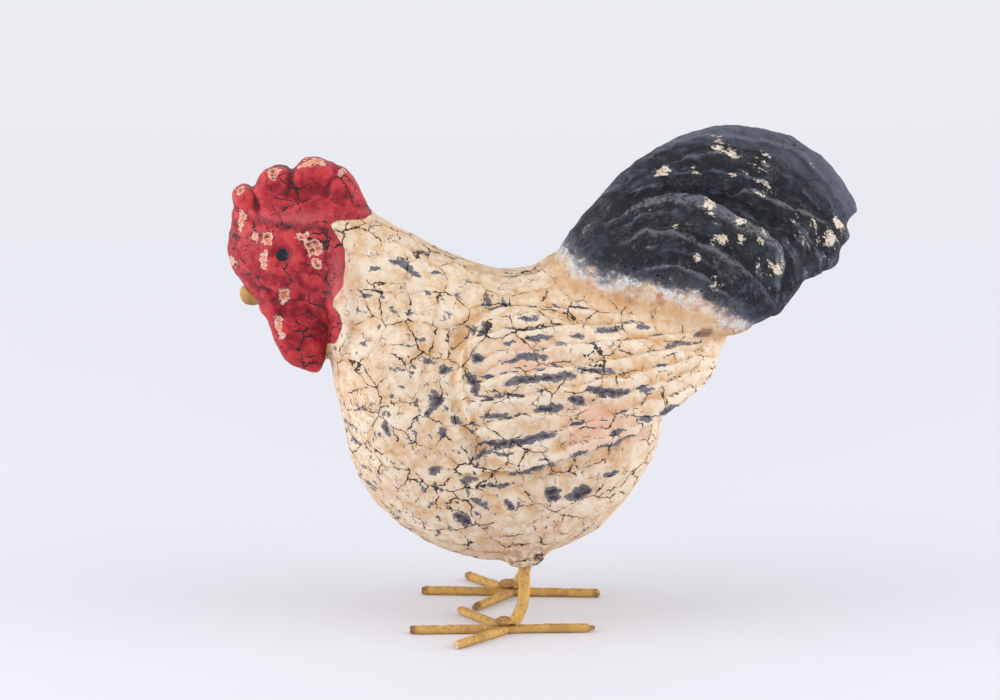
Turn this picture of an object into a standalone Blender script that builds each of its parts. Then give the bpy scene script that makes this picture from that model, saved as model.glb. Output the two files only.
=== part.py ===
"""Standing rooster figure with a moulded hollow body, applied trim and welded rod feet.

Run it with blender --background --python part.py, or from the text editor.
Frame: +X towards the tail, -X towards the beak, +Z up, the bird's left side at -Y, the floor at z = 0.
Lists of points are in millimetres; everything handed to Blender is in metres.
"""

import math

import bmesh
import bpy
import numpy as np

MM = 0.001
GAP = 0.3  # clearance between neighbouring pieces
SKIN_GAP = 0.6  # the same against the curved trunk, whose facets cut corners
WALL = 4.5  # thickness of the moulded body shells
STATIONS = 30  # cross-sections along the body
HALF_STEPS = 11  # steps round half a cross-section
FULLNESS = 0.9  # below 1 the cross-sections are fuller than an ellipse

LEG_RADIUS = 3.0
TOE_RADIUS = 2.3
TOE_SIDES = 8  # a flat of the octagon rests on the floor
LEG_SIDES = 10
PEG_RADIUS = 5.0
WING_RELIEF = 6.0
EAR_RELIEF = 4.0
PLUME_HALF = 11.0  # half the thickness of the tail's middle slab
COVERT_RISE = 7.5  # how far a covert stands off the slab
FILLER_RISE = 11.0
COLLAR_RINGS = [(7, 32.5), (9.5, 35), (12, 39), (13, 50)]  # radius, height
WELD = {"radius": 6.0, "ahead": 4.5, "height": 6.7, "rise": 1.7}
WELD_STEPS = (-1, -0.6, 0, 0.6, 0.95)  # heights of the bead's rings, as shares of its rise

# A plate is built up in layers: depth in y, then the share of its outline that the layer keeps.
COMB_LAYERS = [(-10, 0.8), (-7, 0.95), (0, 1), (7, 0.95), (10, 0.8)]
WATTLE_LAYERS = [(5, 0.7), (7, 0.93), (13, 1), (19, 0.93), (21, 0.7)]
RELIEF_REACH = [(2.0, 1), (80.0, 1)]  # from near the middle plane to past the widest flank

# The trunk as ribs: throat or belly point (x, z), nape or back point (x, z), half width.
RIBS = [
    ((-165, 197), (-165, 197), 0),
    ((-160, 184), (-162, 212), 11),
    ((-152, 175), (-154, 222), 20),
    ((-141, 167), (-141, 229), 26),
    ((-126, 162), (-124, 232), 30),
    ((-115, 156), (-103, 229), 33),
    ((-112, 146), (-86, 215), 37),
    ((-110, 132), (-70, 206), 43),
    ((-106.5, 116), (-54, 197), 49),
    ((-103, 97), (-38, 190.5), 54),
    ((-97, 77), (-22, 186), 57),
    ((-84, 58), (-6, 187), 59),
    ((-62, 41), (8, 188), 59),
    ((-36, 32.5), (22, 185), 58),
    ((-8, 32.5), (36, 180), 56),
    ((20, 42.5), (50, 175), 51),
    ((41, 60.5), (64, 170), 44),
    ((56, 83), (78, 164), 36),
    ((66, 106), (90, 158), 27),
    ((78, 128), (98, 152), 16),
    ((92, 144), (92, 144), 0),
]

COMB = [
    (-159, 203), (-162, 216), (-161, 228), (-155, 232), (-150, 229), (-146, 239), (-138, 242),
    (-131, 240), (-125, 245), (-117, 246.5), (-110, 243), (-103, 241), (-96, 232), (-91, 219),
    (-100, 211), (-130, 205),
]  # fmt: skip
WATTLE = [
    (-148, 170), (-142.5, 163), (-139.5, 151), (-134, 141), (-125, 136), (-116, 133.5),
    (-113, 146), (-115, 160), (-130, 172),
]  # fmt: skip
EAR_LOBE = [(-103, 189), (-110, 176), (-111, 160), (-107, 148), (-102, 154), (-99, 172)]
WING = [
    (-44, 155), (-40, 118), (-20, 96), (12, 95), (40, 105), (64, 121), (84, 131), (92, 142),
    (82, 147), (48, 157), (4, 170), (-28, 173),
]  # fmt: skip
PLUME = [
    (6, 184), (12, 201), (31, 225.5), (54, 246.5), (80, 259), (104, 262.5), (131, 256), (152, 240),
    (163, 224), (164.5, 217.5), (158.5, 213.5), (161.5, 204), (156, 199), (154.5, 190.5),
    (142.5, 184), (130, 179.5), (126, 170), (111, 158), (70, 152), (30, 168),
]  # fmt: skip
COVERT = [
    (16, 199), (26, 212), (48, 225), (78, 228), (108, 217), (128, 202), (139, 190), (136, 181),
    (127, 170), (117, 163), (84, 177), (46, 191),
]  # fmt: skip
ROOT_FILLER = [
    (-6, 183), (12, 195), (44, 191), (84, 178), (108, 168), (112, 161), (102, 154), (76, 157),
    (38, 168), (4, 178),
]  # fmt: skip

LEG_BLOCK = {"x": (-30, 16), "y": (-36, 36), "z": (30, 62)}
PEG_ENDS = ((56, 0, 146), (84, 0, 204))
PEG_HOLE_ENDS = ((55, 0, 144), (84.5, 0, 205))
BEAK = {"tip": (-158, 0, 172.4), "root": (-146.5, 0, 175.2), "half_height": 7.2, "half_width": 5.8}
BEAK_RINGS = [(0, 0.32), (0.1, 0.62), (0.4, 0.86), (1, 1)]  # place from tip to root, share of full size
BEAK_SIDES = 12

# Each foot: the long rod's ends, the side toes' tips, where they are welded, and the leg's centre line.
FEET = {
    "left": {
        "rod": ((-69, -41), (28, -37)),
        "outer": (-45, -70.5),
        "inner": (-43.5, -1.5),
        "junction": (-18, -39),
        "collar": (-9, -23),
        "leg": [
            (-14.8, -39.2, 7.1), (-12.7, -38.8, 9.6), (-10.2, -37, 14.5), (-9, -33, 21.5),
            (-9, -24.5, 32), (-8, -20, 54),
        ],
    },
    "right": {
        "rod": ((-64, 39), (32, 33)),
        "outer": (-40, 70.5),
        "inner": (-35.5, 4),
        "junction": (-15, 36),
        "collar": (-6.2, 21.5),
        "leg": [
            (-12.8, 36.4, 7.1), (-10.9, 36, 9.6), (-8.8, 34.2, 13.8), (-7.6, 30, 19.5),
            (-6.5, 23, 29), (-5, 19, 54),
        ],
    },
}  # fmt: skip

# Colour, roughness and metallic value of each finish.
FINISHES = {
    "cream_paint": ((0.74, 0.55, 0.40), 0.75, 0.0),
    "red_paint": ((0.34, 0.044, 0.050), 0.6, 0.0),
    "pink_red_paint": ((0.57, 0.19, 0.21), 0.6, 0.0),
    "ochre_paint": ((0.51, 0.27, 0.095), 0.65, 0.0),
    "black_paint": ((0.060, 0.066, 0.082), 0.65, 0.0),
    "stained_filler": ((0.60, 0.43, 0.27), 0.85, 0.0),
    "raw_wood": ((0.45, 0.29, 0.16), 0.8, 0.0),
    "weld": ((0.16, 0.10, 0.055), 0.7, 0.4),
}


def clear_scene():
    for thing in list(bpy.data.objects):
        bpy.data.objects.remove(thing, do_unlink=True)


def finish(name):
    found = bpy.data.materials.get(name)
    if found:
        return found
    made = bpy.data.materials.new(name)
    made.use_nodes = True
    colour, roughness, metallic = FINISHES[name]
    shader = made.node_tree.nodes["Principled BSDF"]
    shader.inputs["Base Color"].default_value = (*colour, 1)
    shader.inputs["Roughness"].default_value = roughness
    shader.inputs["Metallic"].default_value = metallic
    made.diffuse_color = (*colour, 1)
    return made


def solid(name, points, faces, material=None):
    """An object from points in millimetres, its faces turned outwards. Without a material it is a cutter."""
    mesh = bpy.data.meshes.new(name)
    mesh.from_pydata((np.asarray(points, float) * MM).tolist(), [], faces)
    work = bmesh.new()
    work.from_mesh(mesh)
    bmesh.ops.recalc_face_normals(work, faces=work.faces)
    work.to_mesh(mesh)
    work.free()
    made = bpy.data.objects.new(name, mesh)
    bpy.context.scene.collection.objects.link(made)
    if material:
        mesh.materials.append(finish(material))
        mesh.shade_smooth()
        mesh.set_sharp_from_angle(angle=math.radians(40))
    else:
        made.hide_render = True
        made.display_type = "WIRE"
    return made


def boolean(target, cutter, operation="DIFFERENCE"):
    modifier = target.modifiers.new(f"{operation.lower()} {cutter.name}", "BOOLEAN")
    modifier.operation = operation
    modifier.solver = "EXACT"
    modifier.object = cutter


def smooth_row(rows, steps, closed=False):
    """Catmull-Rom interpolation through rows of numbers, at the given number of even steps."""
    rows = np.asarray(rows, float)
    spans = len(rows) if closed else len(rows) - 1
    place = np.linspace(0, spans, steps + (0 if closed else 1), endpoint=not closed)
    span = np.minimum(place.astype(int), spans - 1)
    f = (place - span)[:, None]
    if closed:
        before, start, end, after = (rows[(span + k) % len(rows)] for k in (-1, 0, 1, 2))
    else:
        padded = np.vstack([2 * rows[0] - rows[1], rows, 2 * rows[-1] - rows[-2]])
        before, start, end, after = (padded[span + k] for k in range(4))
    bend = 2 * before - 5 * start + 4 * end - after
    return 0.5 * (2 * start + (end - before) * f + bend * f**2 + (3 * start - before - 3 * end + after) * f**3)


def tube_faces(rings, sides):
    """Quads between rings of points, each ring closed on itself."""
    faces = []
    for k in range(rings - 1):
        for j in range(sides):
            a, b = k * sides + j, k * sides + (j + 1) % sides
            faces.append((a, b, b + sides, a + sides))
    return faces


def capped_tube(name, rings, material=None):
    """A closed solid through rings of points, all of the same count."""
    sides = len(rings[0])
    last = (len(rings) - 1) * sides
    caps = [tuple(range(sides)), tuple(range(last, last + sides))]
    return solid(name, np.vstack(rings), tube_faces(len(rings), sides) + caps, material)


def trunk_rows():
    """Rows of (throat x, throat z, nape x, nape z, half width), one for each station."""
    flat = [(*low, *high, half) for low, high, half in RIBS]
    return smooth_row(flat, STATIONS)


def trunk_surface(offset=0.0):
    """The whole trunk moved out by offset along its normals: rings, first pole, last pole."""
    turn = np.linspace(0, 2 * math.pi, 2 * HALF_STEPS, endpoint=False)
    along = (1 - np.cos(turn)) / 2
    across = np.sign(np.sin(turn)) * np.abs(np.sin(turn)) ** FULLNESS
    across[[0, HALF_STEPS]] = 0
    rows = trunk_rows()
    rings = []
    for low_x, low_z, high_x, high_z, half in rows[1:-1]:
        x = low_x + (high_x - low_x) * along
        z = low_z + (high_z - low_z) * along
        rings.append(np.stack([x, half * across, z], 1))
    poles = [(row[0], 0, row[1]) for row in (rows[0], rows[-1])]
    points = np.vstack([*rings, *poles])
    if offset:
        points = points + offset * normals_of(points, trunk_faces())
    count = len(rings) * 2 * HALF_STEPS
    return points[:count].reshape(len(rings), 2 * HALF_STEPS, 3), points[count], points[count + 1]


def trunk_faces():
    rings, sides = STATIONS - 1, 2 * HALF_STEPS
    first_pole, last_pole = rings * sides, rings * sides + 1
    last = (rings - 1) * sides
    fans = [(first_pole, (j + 1) % sides, j) for j in range(sides)]
    fans += [(last_pole, last + j, last + (j + 1) % sides) for j in range(sides)]
    return tube_faces(rings, sides) + fans


def normals_of(points, faces):
    """Outward vertex normals of a closed surface."""
    mesh = bpy.data.meshes.new("normals")
    mesh.from_pydata(points.tolist(), [], faces)
    work = bmesh.new()
    work.from_mesh(mesh)
    bmesh.ops.recalc_face_normals(work, faces=work.faces)
    work.verts.ensure_lookup_table()
    found = np.array([vertex.normal for vertex in work.verts])
    work.free()
    bpy.data.meshes.remove(mesh)
    return found


def trunk_cutter(name, offset):
    rings, first, last = trunk_surface(offset)
    return solid(name, np.vstack([rings.reshape(-1, 3), first, last]), trunk_faces())


def half_shell(name, side):
    """One moulded half of the body: outer skin, inner skin and the flat rim where the halves meet."""
    skins = []
    for offset in (0.0, -WALL):
        rings, first, last = trunk_surface(offset)
        grid = rings[:, : HALF_STEPS + 1].copy()
        grid[:, [0, -1], 1] = GAP / 2
        first[1] = last[1] = GAP / 2
        grid[..., 1] = np.maximum(grid[..., 1], GAP / 2)
        skins.append((grid, first, last))
    count, width = skins[0][0].shape[:2]
    points = np.vstack([np.vstack([grid.reshape(-1, 3), first, last]) for grid, first, last in skins])
    points[:, 1] *= side
    step = count * width + 2
    faces = []
    for base in (0, step):
        for k in range(count - 1):
            for j in range(width - 1):
                a = base + k * width + j
                faces.append((a, a + 1, a + width + 1, a + width))
        for pole, row in ((base + step - 2, base), (base + step - 1, base + (count - 1) * width)):
            faces += [(pole, row + j, row + j + 1) for j in range(width - 1)]
    edges = [(k * width + j, (k + 1) * width + j) for k in range(count - 1) for j in (0, width - 1)]
    edges += [(step - 2, j) for j in (0, width - 1)]
    edges += [(step - 1, (count - 1) * width + j) for j in (0, width - 1)]
    faces += [(a, b, b + step, a + step) for a, b in edges]
    return solid(name, points, faces, "cream_paint")


def stack(name, outline, layers, steps, material):
    """Scaled copies of an outline at several depths in y, joined and capped: a plate with rounded edges."""
    ring = smooth_row(outline, steps, closed=True)
    middle = ring.mean(0)
    rings = []
    for depth, scale in layers:
        flat = middle + (ring - middle) * scale
        rings.append(np.stack([flat[:, 0], np.full(steps, depth), flat[:, 1]], 1))
    return capped_tube(name, rings, material)


def sweep(name, path, radius, sides, material=None):
    """A rod along a path: its section keeps one flat side down."""
    path = np.asarray(path, float)
    way = np.gradient(path, axis=0)
    way /= np.linalg.norm(way, axis=1)[:, None]
    level = np.cross(way, (0, 0, 1))
    if len(path) > 2:
        level = np.tile(np.cross(path[-1] - path[0], (0, 0, 1)), (len(path), 1))
    level -= (level * way).sum(1)[:, None] * way
    level /= np.linalg.norm(level, axis=1)[:, None]
    rise = np.cross(level, way)
    turn = (np.arange(sides) + 0.5) * 2 * math.pi / sides + math.pi / 2
    corner = radius / math.cos(math.pi / sides)
    ring = np.cos(turn)[None, :, None] * level[:, None] + np.sin(turn)[None, :, None] * rise[:, None]
    return capped_tube(name, path[:, None] + corner * ring, material)


def lathe(name, x, y, profile, sides, material):
    """A turned shape round an upright axis at (x, y): its profile is rings of (radius, z)."""
    turn = np.arange(sides) * 2 * math.pi / sides
    rings = [
        np.stack([x + radius * np.cos(turn), y + radius * np.sin(turn), np.full(sides, z)], 1)
        for radius, z in profile
    ]
    return capped_tube(name, rings, material)


def box(name, x, y, z, material):
    points = [(a, b, c) for a in x for b in y for c in z]
    faces = [(0, 1, 3, 2), (4, 6, 7, 5), (0, 4, 5, 1), (2, 3, 7, 6), (0, 2, 6, 4), (1, 5, 7, 3)]
    return solid(name, points, faces, material)


def relief(name, outline, side, steps, outer, clearance, material):
    """A thin panel laid on the trunk: the outline pushed through from one side, kept between two skins."""
    made = side_plate(name, outline, side, RELIEF_REACH, steps, material)
    boolean(made, outer, "INTERSECT")
    boolean(made, clearance)
    return made


def side_plate(name, outline, side, layers, steps, material):
    return stack(name, outline, [(side * depth, scale) for depth, scale in layers], steps, material)


def rod_between(name, start, end, radius, sides, material=None):
    return sweep(name, [start, end], radius, sides, material)


def beak():
    """A short blunt beak that points forwards and down, its root inside the head."""
    tip, root = np.array(BEAK["tip"], float), np.array(BEAK["root"], float)
    way = (root - tip) / np.linalg.norm(root - tip)
    upright = np.array([-way[2], 0, way[0]])
    turn = np.arange(BEAK_SIDES) * 2 * math.pi / BEAK_SIDES
    ring = BEAK["half_height"] * np.sin(turn)[:, None] * upright
    ring[:, 1] = BEAK["half_width"] * np.cos(turn)
    rings = [tip + (root - tip) * place + size * ring for place, size in BEAK_RINGS]
    return capped_tube("beak", rings, "ochre_paint")


def head_trim(clearance):
    """Comb, beak, wattles and ear lobes."""
    comb = stack("comb", COMB, COMB_LAYERS, 44, "red_paint")
    boolean(comb, clearance)
    boolean(beak(), clearance)
    ear_skin = trunk_cutter("ear_skin", EAR_RELIEF)
    for name, side in (("left", -1), ("right", 1)):
        wattle = side_plate(f"wattle_{name}", WATTLE, side, WATTLE_LAYERS, 24, "red_paint")
        boolean(wattle, clearance)
        relief(f"ear_lobe_{name}", EAR_LOBE, side, 18, ear_skin, clearance, "pink_red_paint")


def wings(clearance):
    skin = trunk_cutter("wing_skin", WING_RELIEF)
    for name, side in (("left", -1), ("right", 1)):
        relief(f"wing_{name}", WING, side, 36, skin, clearance, "cream_paint")


def tail(clearance, peg_hole):
    """Middle slab, with a covert and a wedge of filler on each side."""
    layers = [(-PLUME_HALF, 0.9), (-PLUME_HALF * 0.6, 1), (PLUME_HALF * 0.6, 1), (PLUME_HALF, 0.9)]
    plume = stack("tail_plume", PLUME, layers, 60, "black_paint")
    boolean(plume, clearance)
    boolean(plume, peg_hole)
    face = PLUME_HALF + GAP
    for name, side in (("left", -1), ("right", 1)):
        layers = [(face, 1), (face + COVERT_RISE * 0.6, 1), (face + COVERT_RISE, 0.85)]
        covert = side_plate(f"tail_covert_{name}", COVERT, side, layers, 36, "black_paint")
        boolean(covert, clearance)
        room = [(face - 1, 1.015), (face + COVERT_RISE + 9, 1.015)]
        covert_room = side_plate(f"covert_room_{name}", COVERT, side, room, 36, None)
        layers = [(face, 1), (face + FILLER_RISE * 0.5, 0.98), (face + FILLER_RISE, 0.8)]
        wedge = side_plate(f"tail_filler_{name}", ROOT_FILLER, side, layers, 32, "stained_filler")
        boolean(wedge, clearance)
        boolean(wedge, covert_room)


def foot(name, clearance):
    """The long straight rod, two side toes, the leg and its weld. Returns the cutter of the leg's hole."""
    lay = FEET[name]
    ends = [(*end, TOE_RADIUS) for end in lay["rod"]]
    rod_between(f"long_toe_{name}", *ends, TOE_RADIUS, TOE_SIDES, "ochre_paint")
    rod_room = rod_between(f"long_toe_room_{name}", *ends, TOE_RADIUS + GAP, TOE_SIDES)
    start = (*lay["junction"], TOE_RADIUS)
    for toe in ("outer", "inner"):
        made = rod_between(
            f"{toe}_toe_{name}", start, (*lay[toe], TOE_RADIUS), TOE_RADIUS, TOE_SIDES, "ochre_paint"
        )
        boolean(made, rod_room)
    path = smooth_row(lay["leg"], 18)
    sweep(f"leg_{name}", path, LEG_RADIUS, LEG_SIDES, "ochre_paint")
    run_on = path[-1] + (path[-1] - path[-2]) * 0.3
    leg_room = sweep(f"leg_room_{name}", np.vstack([path, run_on]), LEG_RADIUS + GAP, LEG_SIDES)
    collar = lathe(f"leg_collar_{name}", *lay["collar"], COLLAR_RINGS, 20, "stained_filler")
    boolean(collar, clearance)
    boolean(collar, leg_room)
    x, y, _ = lay["leg"][0]
    bead = [
        (WELD["radius"] * math.sqrt(1.05 - step * step), WELD["height"] + WELD["rise"] * step)
        for step in WELD_STEPS
    ]
    weld = lathe(f"foot_weld_{name}", x - WELD["ahead"], y, bead, 14, "weld")
    boolean(weld, leg_room)
    boolean(weld, rod_room)
    return leg_room


def main():
    clear_scene()
    clearance = trunk_cutter("trunk_clearance", SKIN_GAP)
    peg_hole = rod_between("peg_hole", *PEG_HOLE_ENDS, PEG_RADIUS + GAP, 12)
    rod_between("tail_peg", *PEG_ENDS, PEG_RADIUS, 12, "raw_wood")
    leg_rooms = [foot("left", clearance), foot("right", clearance)]
    block = box("leg_block", LEG_BLOCK["x"], LEG_BLOCK["y"], LEG_BLOCK["z"], "raw_wood")
    boolean(block, trunk_cutter("hollow", -WALL - SKIN_GAP), "INTERSECT")
    for number, (name, side) in enumerate((("left", -1), ("right", 1))):
        shell = half_shell(f"body_shell_{name}", side)
        boolean(shell, leg_rooms[number])
        boolean(shell, peg_hole)
        boolean(block, leg_rooms[number])
    head_trim(clearance)
    wings(clearance)
    tail(clearance, peg_hole)


main()
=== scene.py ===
"""Looks of a carved, crackle-painted rooster that stands on feet of painted wire.

The bird is sculpted as one even surface around copies of the frame's carved parts, which is then cut
into the comb, wings, tail and so on, so that the paint runs from piece to piece without a break.
"""

import math
import random
from collections import defaultdict

import bmesh
import bpy
import numpy as np
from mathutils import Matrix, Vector, noise
from mathutils.bvhtree import BVHTree


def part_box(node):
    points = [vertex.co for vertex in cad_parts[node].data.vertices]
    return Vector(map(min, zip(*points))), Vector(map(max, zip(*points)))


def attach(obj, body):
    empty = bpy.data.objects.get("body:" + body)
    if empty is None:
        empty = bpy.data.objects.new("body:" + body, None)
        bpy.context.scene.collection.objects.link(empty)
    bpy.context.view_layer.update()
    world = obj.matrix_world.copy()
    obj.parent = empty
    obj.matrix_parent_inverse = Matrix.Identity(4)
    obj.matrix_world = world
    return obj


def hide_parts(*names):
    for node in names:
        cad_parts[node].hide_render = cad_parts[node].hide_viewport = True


bl_info = {
    "name": "Carved rooster",
    "version": (1, 0, 0),
    "blender": (4, 5, 0),
    "location": "View3D > Sidebar > Rooster",
    "description": "Builds the painted carving, its wire feet and the stage around the packed frame",
    "category": "Object",
}

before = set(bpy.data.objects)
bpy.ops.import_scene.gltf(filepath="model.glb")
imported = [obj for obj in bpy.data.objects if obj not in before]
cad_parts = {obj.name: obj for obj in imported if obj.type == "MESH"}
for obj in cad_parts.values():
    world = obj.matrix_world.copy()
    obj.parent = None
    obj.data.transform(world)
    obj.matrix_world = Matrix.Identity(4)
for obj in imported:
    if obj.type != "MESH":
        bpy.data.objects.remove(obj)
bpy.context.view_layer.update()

MM = 0.001
SIDES = ("left", "right")
CARVED_PARTS = [
    name
    for name in sorted(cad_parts)
    if name.startswith(("body_shell", "wing", "comb", "wattle", "ear_lobe", "tail_plume"))
    or name.startswith(("tail_covert", "tail_filler", "leg_collar", "leg_left", "leg_right"))
]

# The painter's marks are drawn on a side view tipped by this angle, in millimetres from the middle of
# the feet: a mark at (along, up) lands where the view's line meets either flank of the carving.
SIDE_VIEW_TIP = math.tan(math.radians(12))

FACE_PAINT_EDGE = [
    (-89, 216), (-92, 213), (-106, 212), (-110, 210), (-105, 202), (-102, 197), (-102, 187),
    (-103, 177), (-107, 171), (-108, 167), (-104, 162), (-103, 156), (-106, 149), (-108, 147),
    (-112, 147), (-113, 139), (-114, 134), (-113, 110), (-220, 110), (-220, 280), (-89, 280),
]  # fmt: skip
TAIL_PAINT_EDGE = [
    (10, 200), (14, 197), (22, 189), (31, 182), (41, 181), (56, 178), (69, 176), (80, 173),
    (90, 167), (101, 160), (112, 155), (118, 151), (220, 150), (220, 300), (0, 300), (0, 204),
]  # fmt: skip
EYE = (-134.7, 193.7)
EYE_RADIUS = 3.4
# What a mark's depth counts as where the mark is nowhere near.
FAR_OUTSIDE = -9.0
# Depths in millimetres: dark strokes, flaked chips, the wing's front, and the hollow behind the wing.
STROKE_DEPTH = 0.45
CHIP_DEPTH = 0.35
WING_FRONT_DROP = 5.2
TUCK_DEPTH = 7.0
SMALL_STROKES = 90

# Each stroke of dark paint: the points that it runs through, then half its width.
STROKES = [
    ((-79, 192), (-70, 188), (-63, 183), 1.3), ((-29, 175), (-27, 167), 1.1),
    ((-32, 161), (-29, 155), 1.6), ((-40, 157), (-36, 154), 1.1), ((-60, 139), (-58, 136), 1.6),
    ((-56, 123), (-53, 118), (-60, 109), 1.8), ((-47, 109), (-43, 105), 1.6),
    ((-82, 106), (-79, 99), 1.8), ((-53, 103), (-51, 97), 1.3), ((-59, 78), (-53, 81), 1.6),
    ((-46, 55), (-41, 53), (-37, 50), 2.4), ((-37, 65), (-28, 61), 1.1),
    ((-19, 64), (-14, 59), 1.6), ((-13, 161), (-1, 160), 0.8), ((-9, 149), (6, 150), 1.1),
    ((-20, 148), (-14, 148), 0.8), ((27, 153), (40, 155), 1.1), ((49, 156), (56, 155), 0.8),
    ((14, 151), (21, 151), 1.1), ((-21, 137), (-9, 140), (3, 139), 1.3),
    ((64, 146), (83, 148), 0.8), ((79, 152), (89, 153), 1.6),
    ((-20, 126), (-10, 128), (6, 129), (17, 130), 1.8), ((18, 133), (30, 133), (37, 131), 1.1),
    ((22, 123), (35, 121), (46, 121), 1.8), ((13, 117), (22, 117), 2.1),
    ((-5, 112), (4, 113), (10, 113), 1.8), ((-31, 108), (-15, 108), 1.3),
    ((50, 122), (57, 122), 1.1), ((-34, 91), (-13, 95), (0, 98), (7, 100), 1.8),
    ((35, 100), (41, 101), 1.3), ((-37, 85), (-13, 89), 0.8), ((12, 86), (26, 89), 1.8),
    ((27, 91), (39, 95), (47, 99), 1.3), ((48, 99), (61, 105), 1.3), ((49, 107), (57, 108), 1.3),
    ((60, 110), (72, 113), 1.6), ((68, 109), (81, 118), 1.1), ((-17, 77), (-2, 80), (13, 85), 1.6),
    ((-34, 70), (-15, 72), 0.8), ((-42, 74), (-33, 75), 1.1), ((2, 67), (9, 70), 2.4),
    ((3, 65), (9, 64), 2.4), ((13, 65), (26, 70), 2.6), ((33, 76), (41, 79), 1.1),
    ((-33, 119), (-10, 119), 0.8), ((-36, 142), (-31, 138), 2.4),
    ((-40, 130), (-34, 126), (-34, 119), 1.8), ((-52, 131), (-47, 134), 1.6),
    ((-33, 154), (-28, 155), 1.6), ((-20, 172), (-18, 167), 0.8),
]  # fmt: skip

# Places where the red paint has chipped to the ground coat, in the same form.
FACE_CHIPS = [
    ((-149.5, 206), (-148.5, 201), 2.2), ((-145, 203), (-140, 200), 3.4),
    ((-143, 197), (-144, 192), (-145, 185), 2.0), ((-127, 203.5), (-120, 204.5), 2.8),
    ((-121, 201), (-118, 197), (-120, 194), 4.8), ((-119, 192), (-115.5, 187.5), 3.2),
    ((-136, 175), (-134, 172), (-131.5, 175), 3.4), ((-157.5, 229), (-155, 227.5), 3.2),
    ((-142, 237), (-137, 238), 3.6), ((-128, 241), (-120, 244), (-112, 242), 2.2),
    ((-104, 239.5), (-103, 236), 2.2), ((-158, 219), (-156, 213), (-156, 207), 2.2),
    ((-137.6, 161), (-136.4, 155), (-135.8, 149), 2.2), ((-162, 193), (-160, 188), 1.2),
]  # fmt: skip
# Places where the tail is chipped most: middle and reach.
TAIL_CHIPS = [
    ((150, 203), 8), ((154, 211), 5), ((119, 187), 6.5), ((112, 202), 4), ((104, 203), 5),
    ((93, 203), 5), ((91, 180), 4.5), ((69, 211), 3.5), ((80, 238), 4), ((62, 238), 4.5),
    ((91, 251), 6), ((113, 243), 7), ((115, 228), 6), ((106, 170), 2), ((81, 192), 2.5),
    ((76, 188), 2), ((99, 248), 4), ((132, 212), 3), ((99, 236), 3), ((142, 211), 4),
    ((104, 212), 4), ((86, 219), 4), ((58, 218), 3),
]  # fmt: skip

# Steps between the tail's feathers, each a path from the root outwards: the side on its left stands
# lower than the side on its right by the given depth, and the step eases out over the given reach.
TAIL_STEPS = [
    ((52, 243), (70, 253), (86, 257), (99, 255), (114, 253), (131, 249), (141, 239), (150, 228),
     (157, 216), 3.0, -1.9),
    ((33, 218), (45, 231), (60, 240), (76, 248), (92, 249), (106, 248), (120, 243), (131, 236),
     (140, 227), 3.5, 1.2),
    ((65, 227), (81, 225), (94, 223), (106, 230), (120, 228), (131, 225), (142, 218), 4.0, 1.5),
    ((37, 214), (53, 224), (67, 226), (83, 224), (95, 219), (106, 212), (117, 207), (125, 198),
     (126, 191), (124, 179), 6.0, 3.4),
    ((38, 208), (47, 214), (60, 218), (72, 217), 3.0, 1.0),
    ((41, 201), (53, 208), (67, 208), (79, 204), (92, 197), (104, 189), (114, 180), (119, 172),
     4.5, 2.0),
    ((45, 185), (58, 189), (74, 189), (88, 182), (99, 172), (106, 165), 4.0, 1.6),
    ((95, 223), (106, 218), (117, 211), (128, 207), 4.0, 2.2),
    ((113, 228), (127, 222), (142, 216), (151, 211), 4.0, 1.8),
    ((135, 211), (142, 203), (146, 194), (147, 185), 4.0, 1.3),
    ((57, 235), (72, 239), (88, 240), (104, 238), (118, 235), 3.0, 1.1),
    ((55, 198), (68, 199), (82, 194), (95, 185), (105, 177), 3.0, 1.1),
]  # fmt: skip
# The feathers of the tail arch over this point.
TAIL_HEART = (84, 172)
# Valleys between the lobes of the comb and round its foot: points, half width, depth.
COMB_VALLEYS = [
    ((-154, 234), (-150, 226), (-148, 215), 2.2, 1.8),
    ((-131, 245), (-130, 236), (-132, 226), 2.2, 1.5),
    ((-104, 244), (-110, 234), (-113, 224), 2.4, 1.2),
    ((-150, 213), (-134, 210), (-122, 208), (-108, 207), 2.6, 1.8),
    ((-164, 222), (-156, 216), (-150, 212), 2.0, 1.4),
    ((-130, 226), (-118, 222), (-104, 224), 3.0, 1.0),
    ((-150, 178), (-140, 172), (-128, 170), (-118, 174), 2.2, 1.6),
    ((-128, 186), (-124, 176), (-116, 168), (-112, 160), 3.0, 1.0),
]  # fmt: skip

# The wing's feather strips fan out from a point far behind the tail.
FAN_POINT = (215, 167)
FAN_REACH = 175
# The share of a strip's width over which it rises; over the rest it drops to the next strip.
STRIP_RISE = 0.85
WING_EDGE = [
    (-46, 152), (-44, 118), (-38, 90), (-30, 78), (-14, 80), (17, 87), (39, 94), (58, 105),
    (82, 118), (94, 129), (98, 141), (82, 152), (48, 162), (4, 174), (-28, 174),
]  # fmt: skip
WING_LIP = [(-34, 78), (-14, 80), (17, 87), (39, 94), (58, 105), (82, 118), (94, 130)]
PINK_PATCHES = [
    ((30, 103), (20, 15)), ((-10, 139), (14, 9)), ((-105, 184), (5, 18)), ((-126, 213), (16, 4)),
]  # fmt: skip


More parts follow.
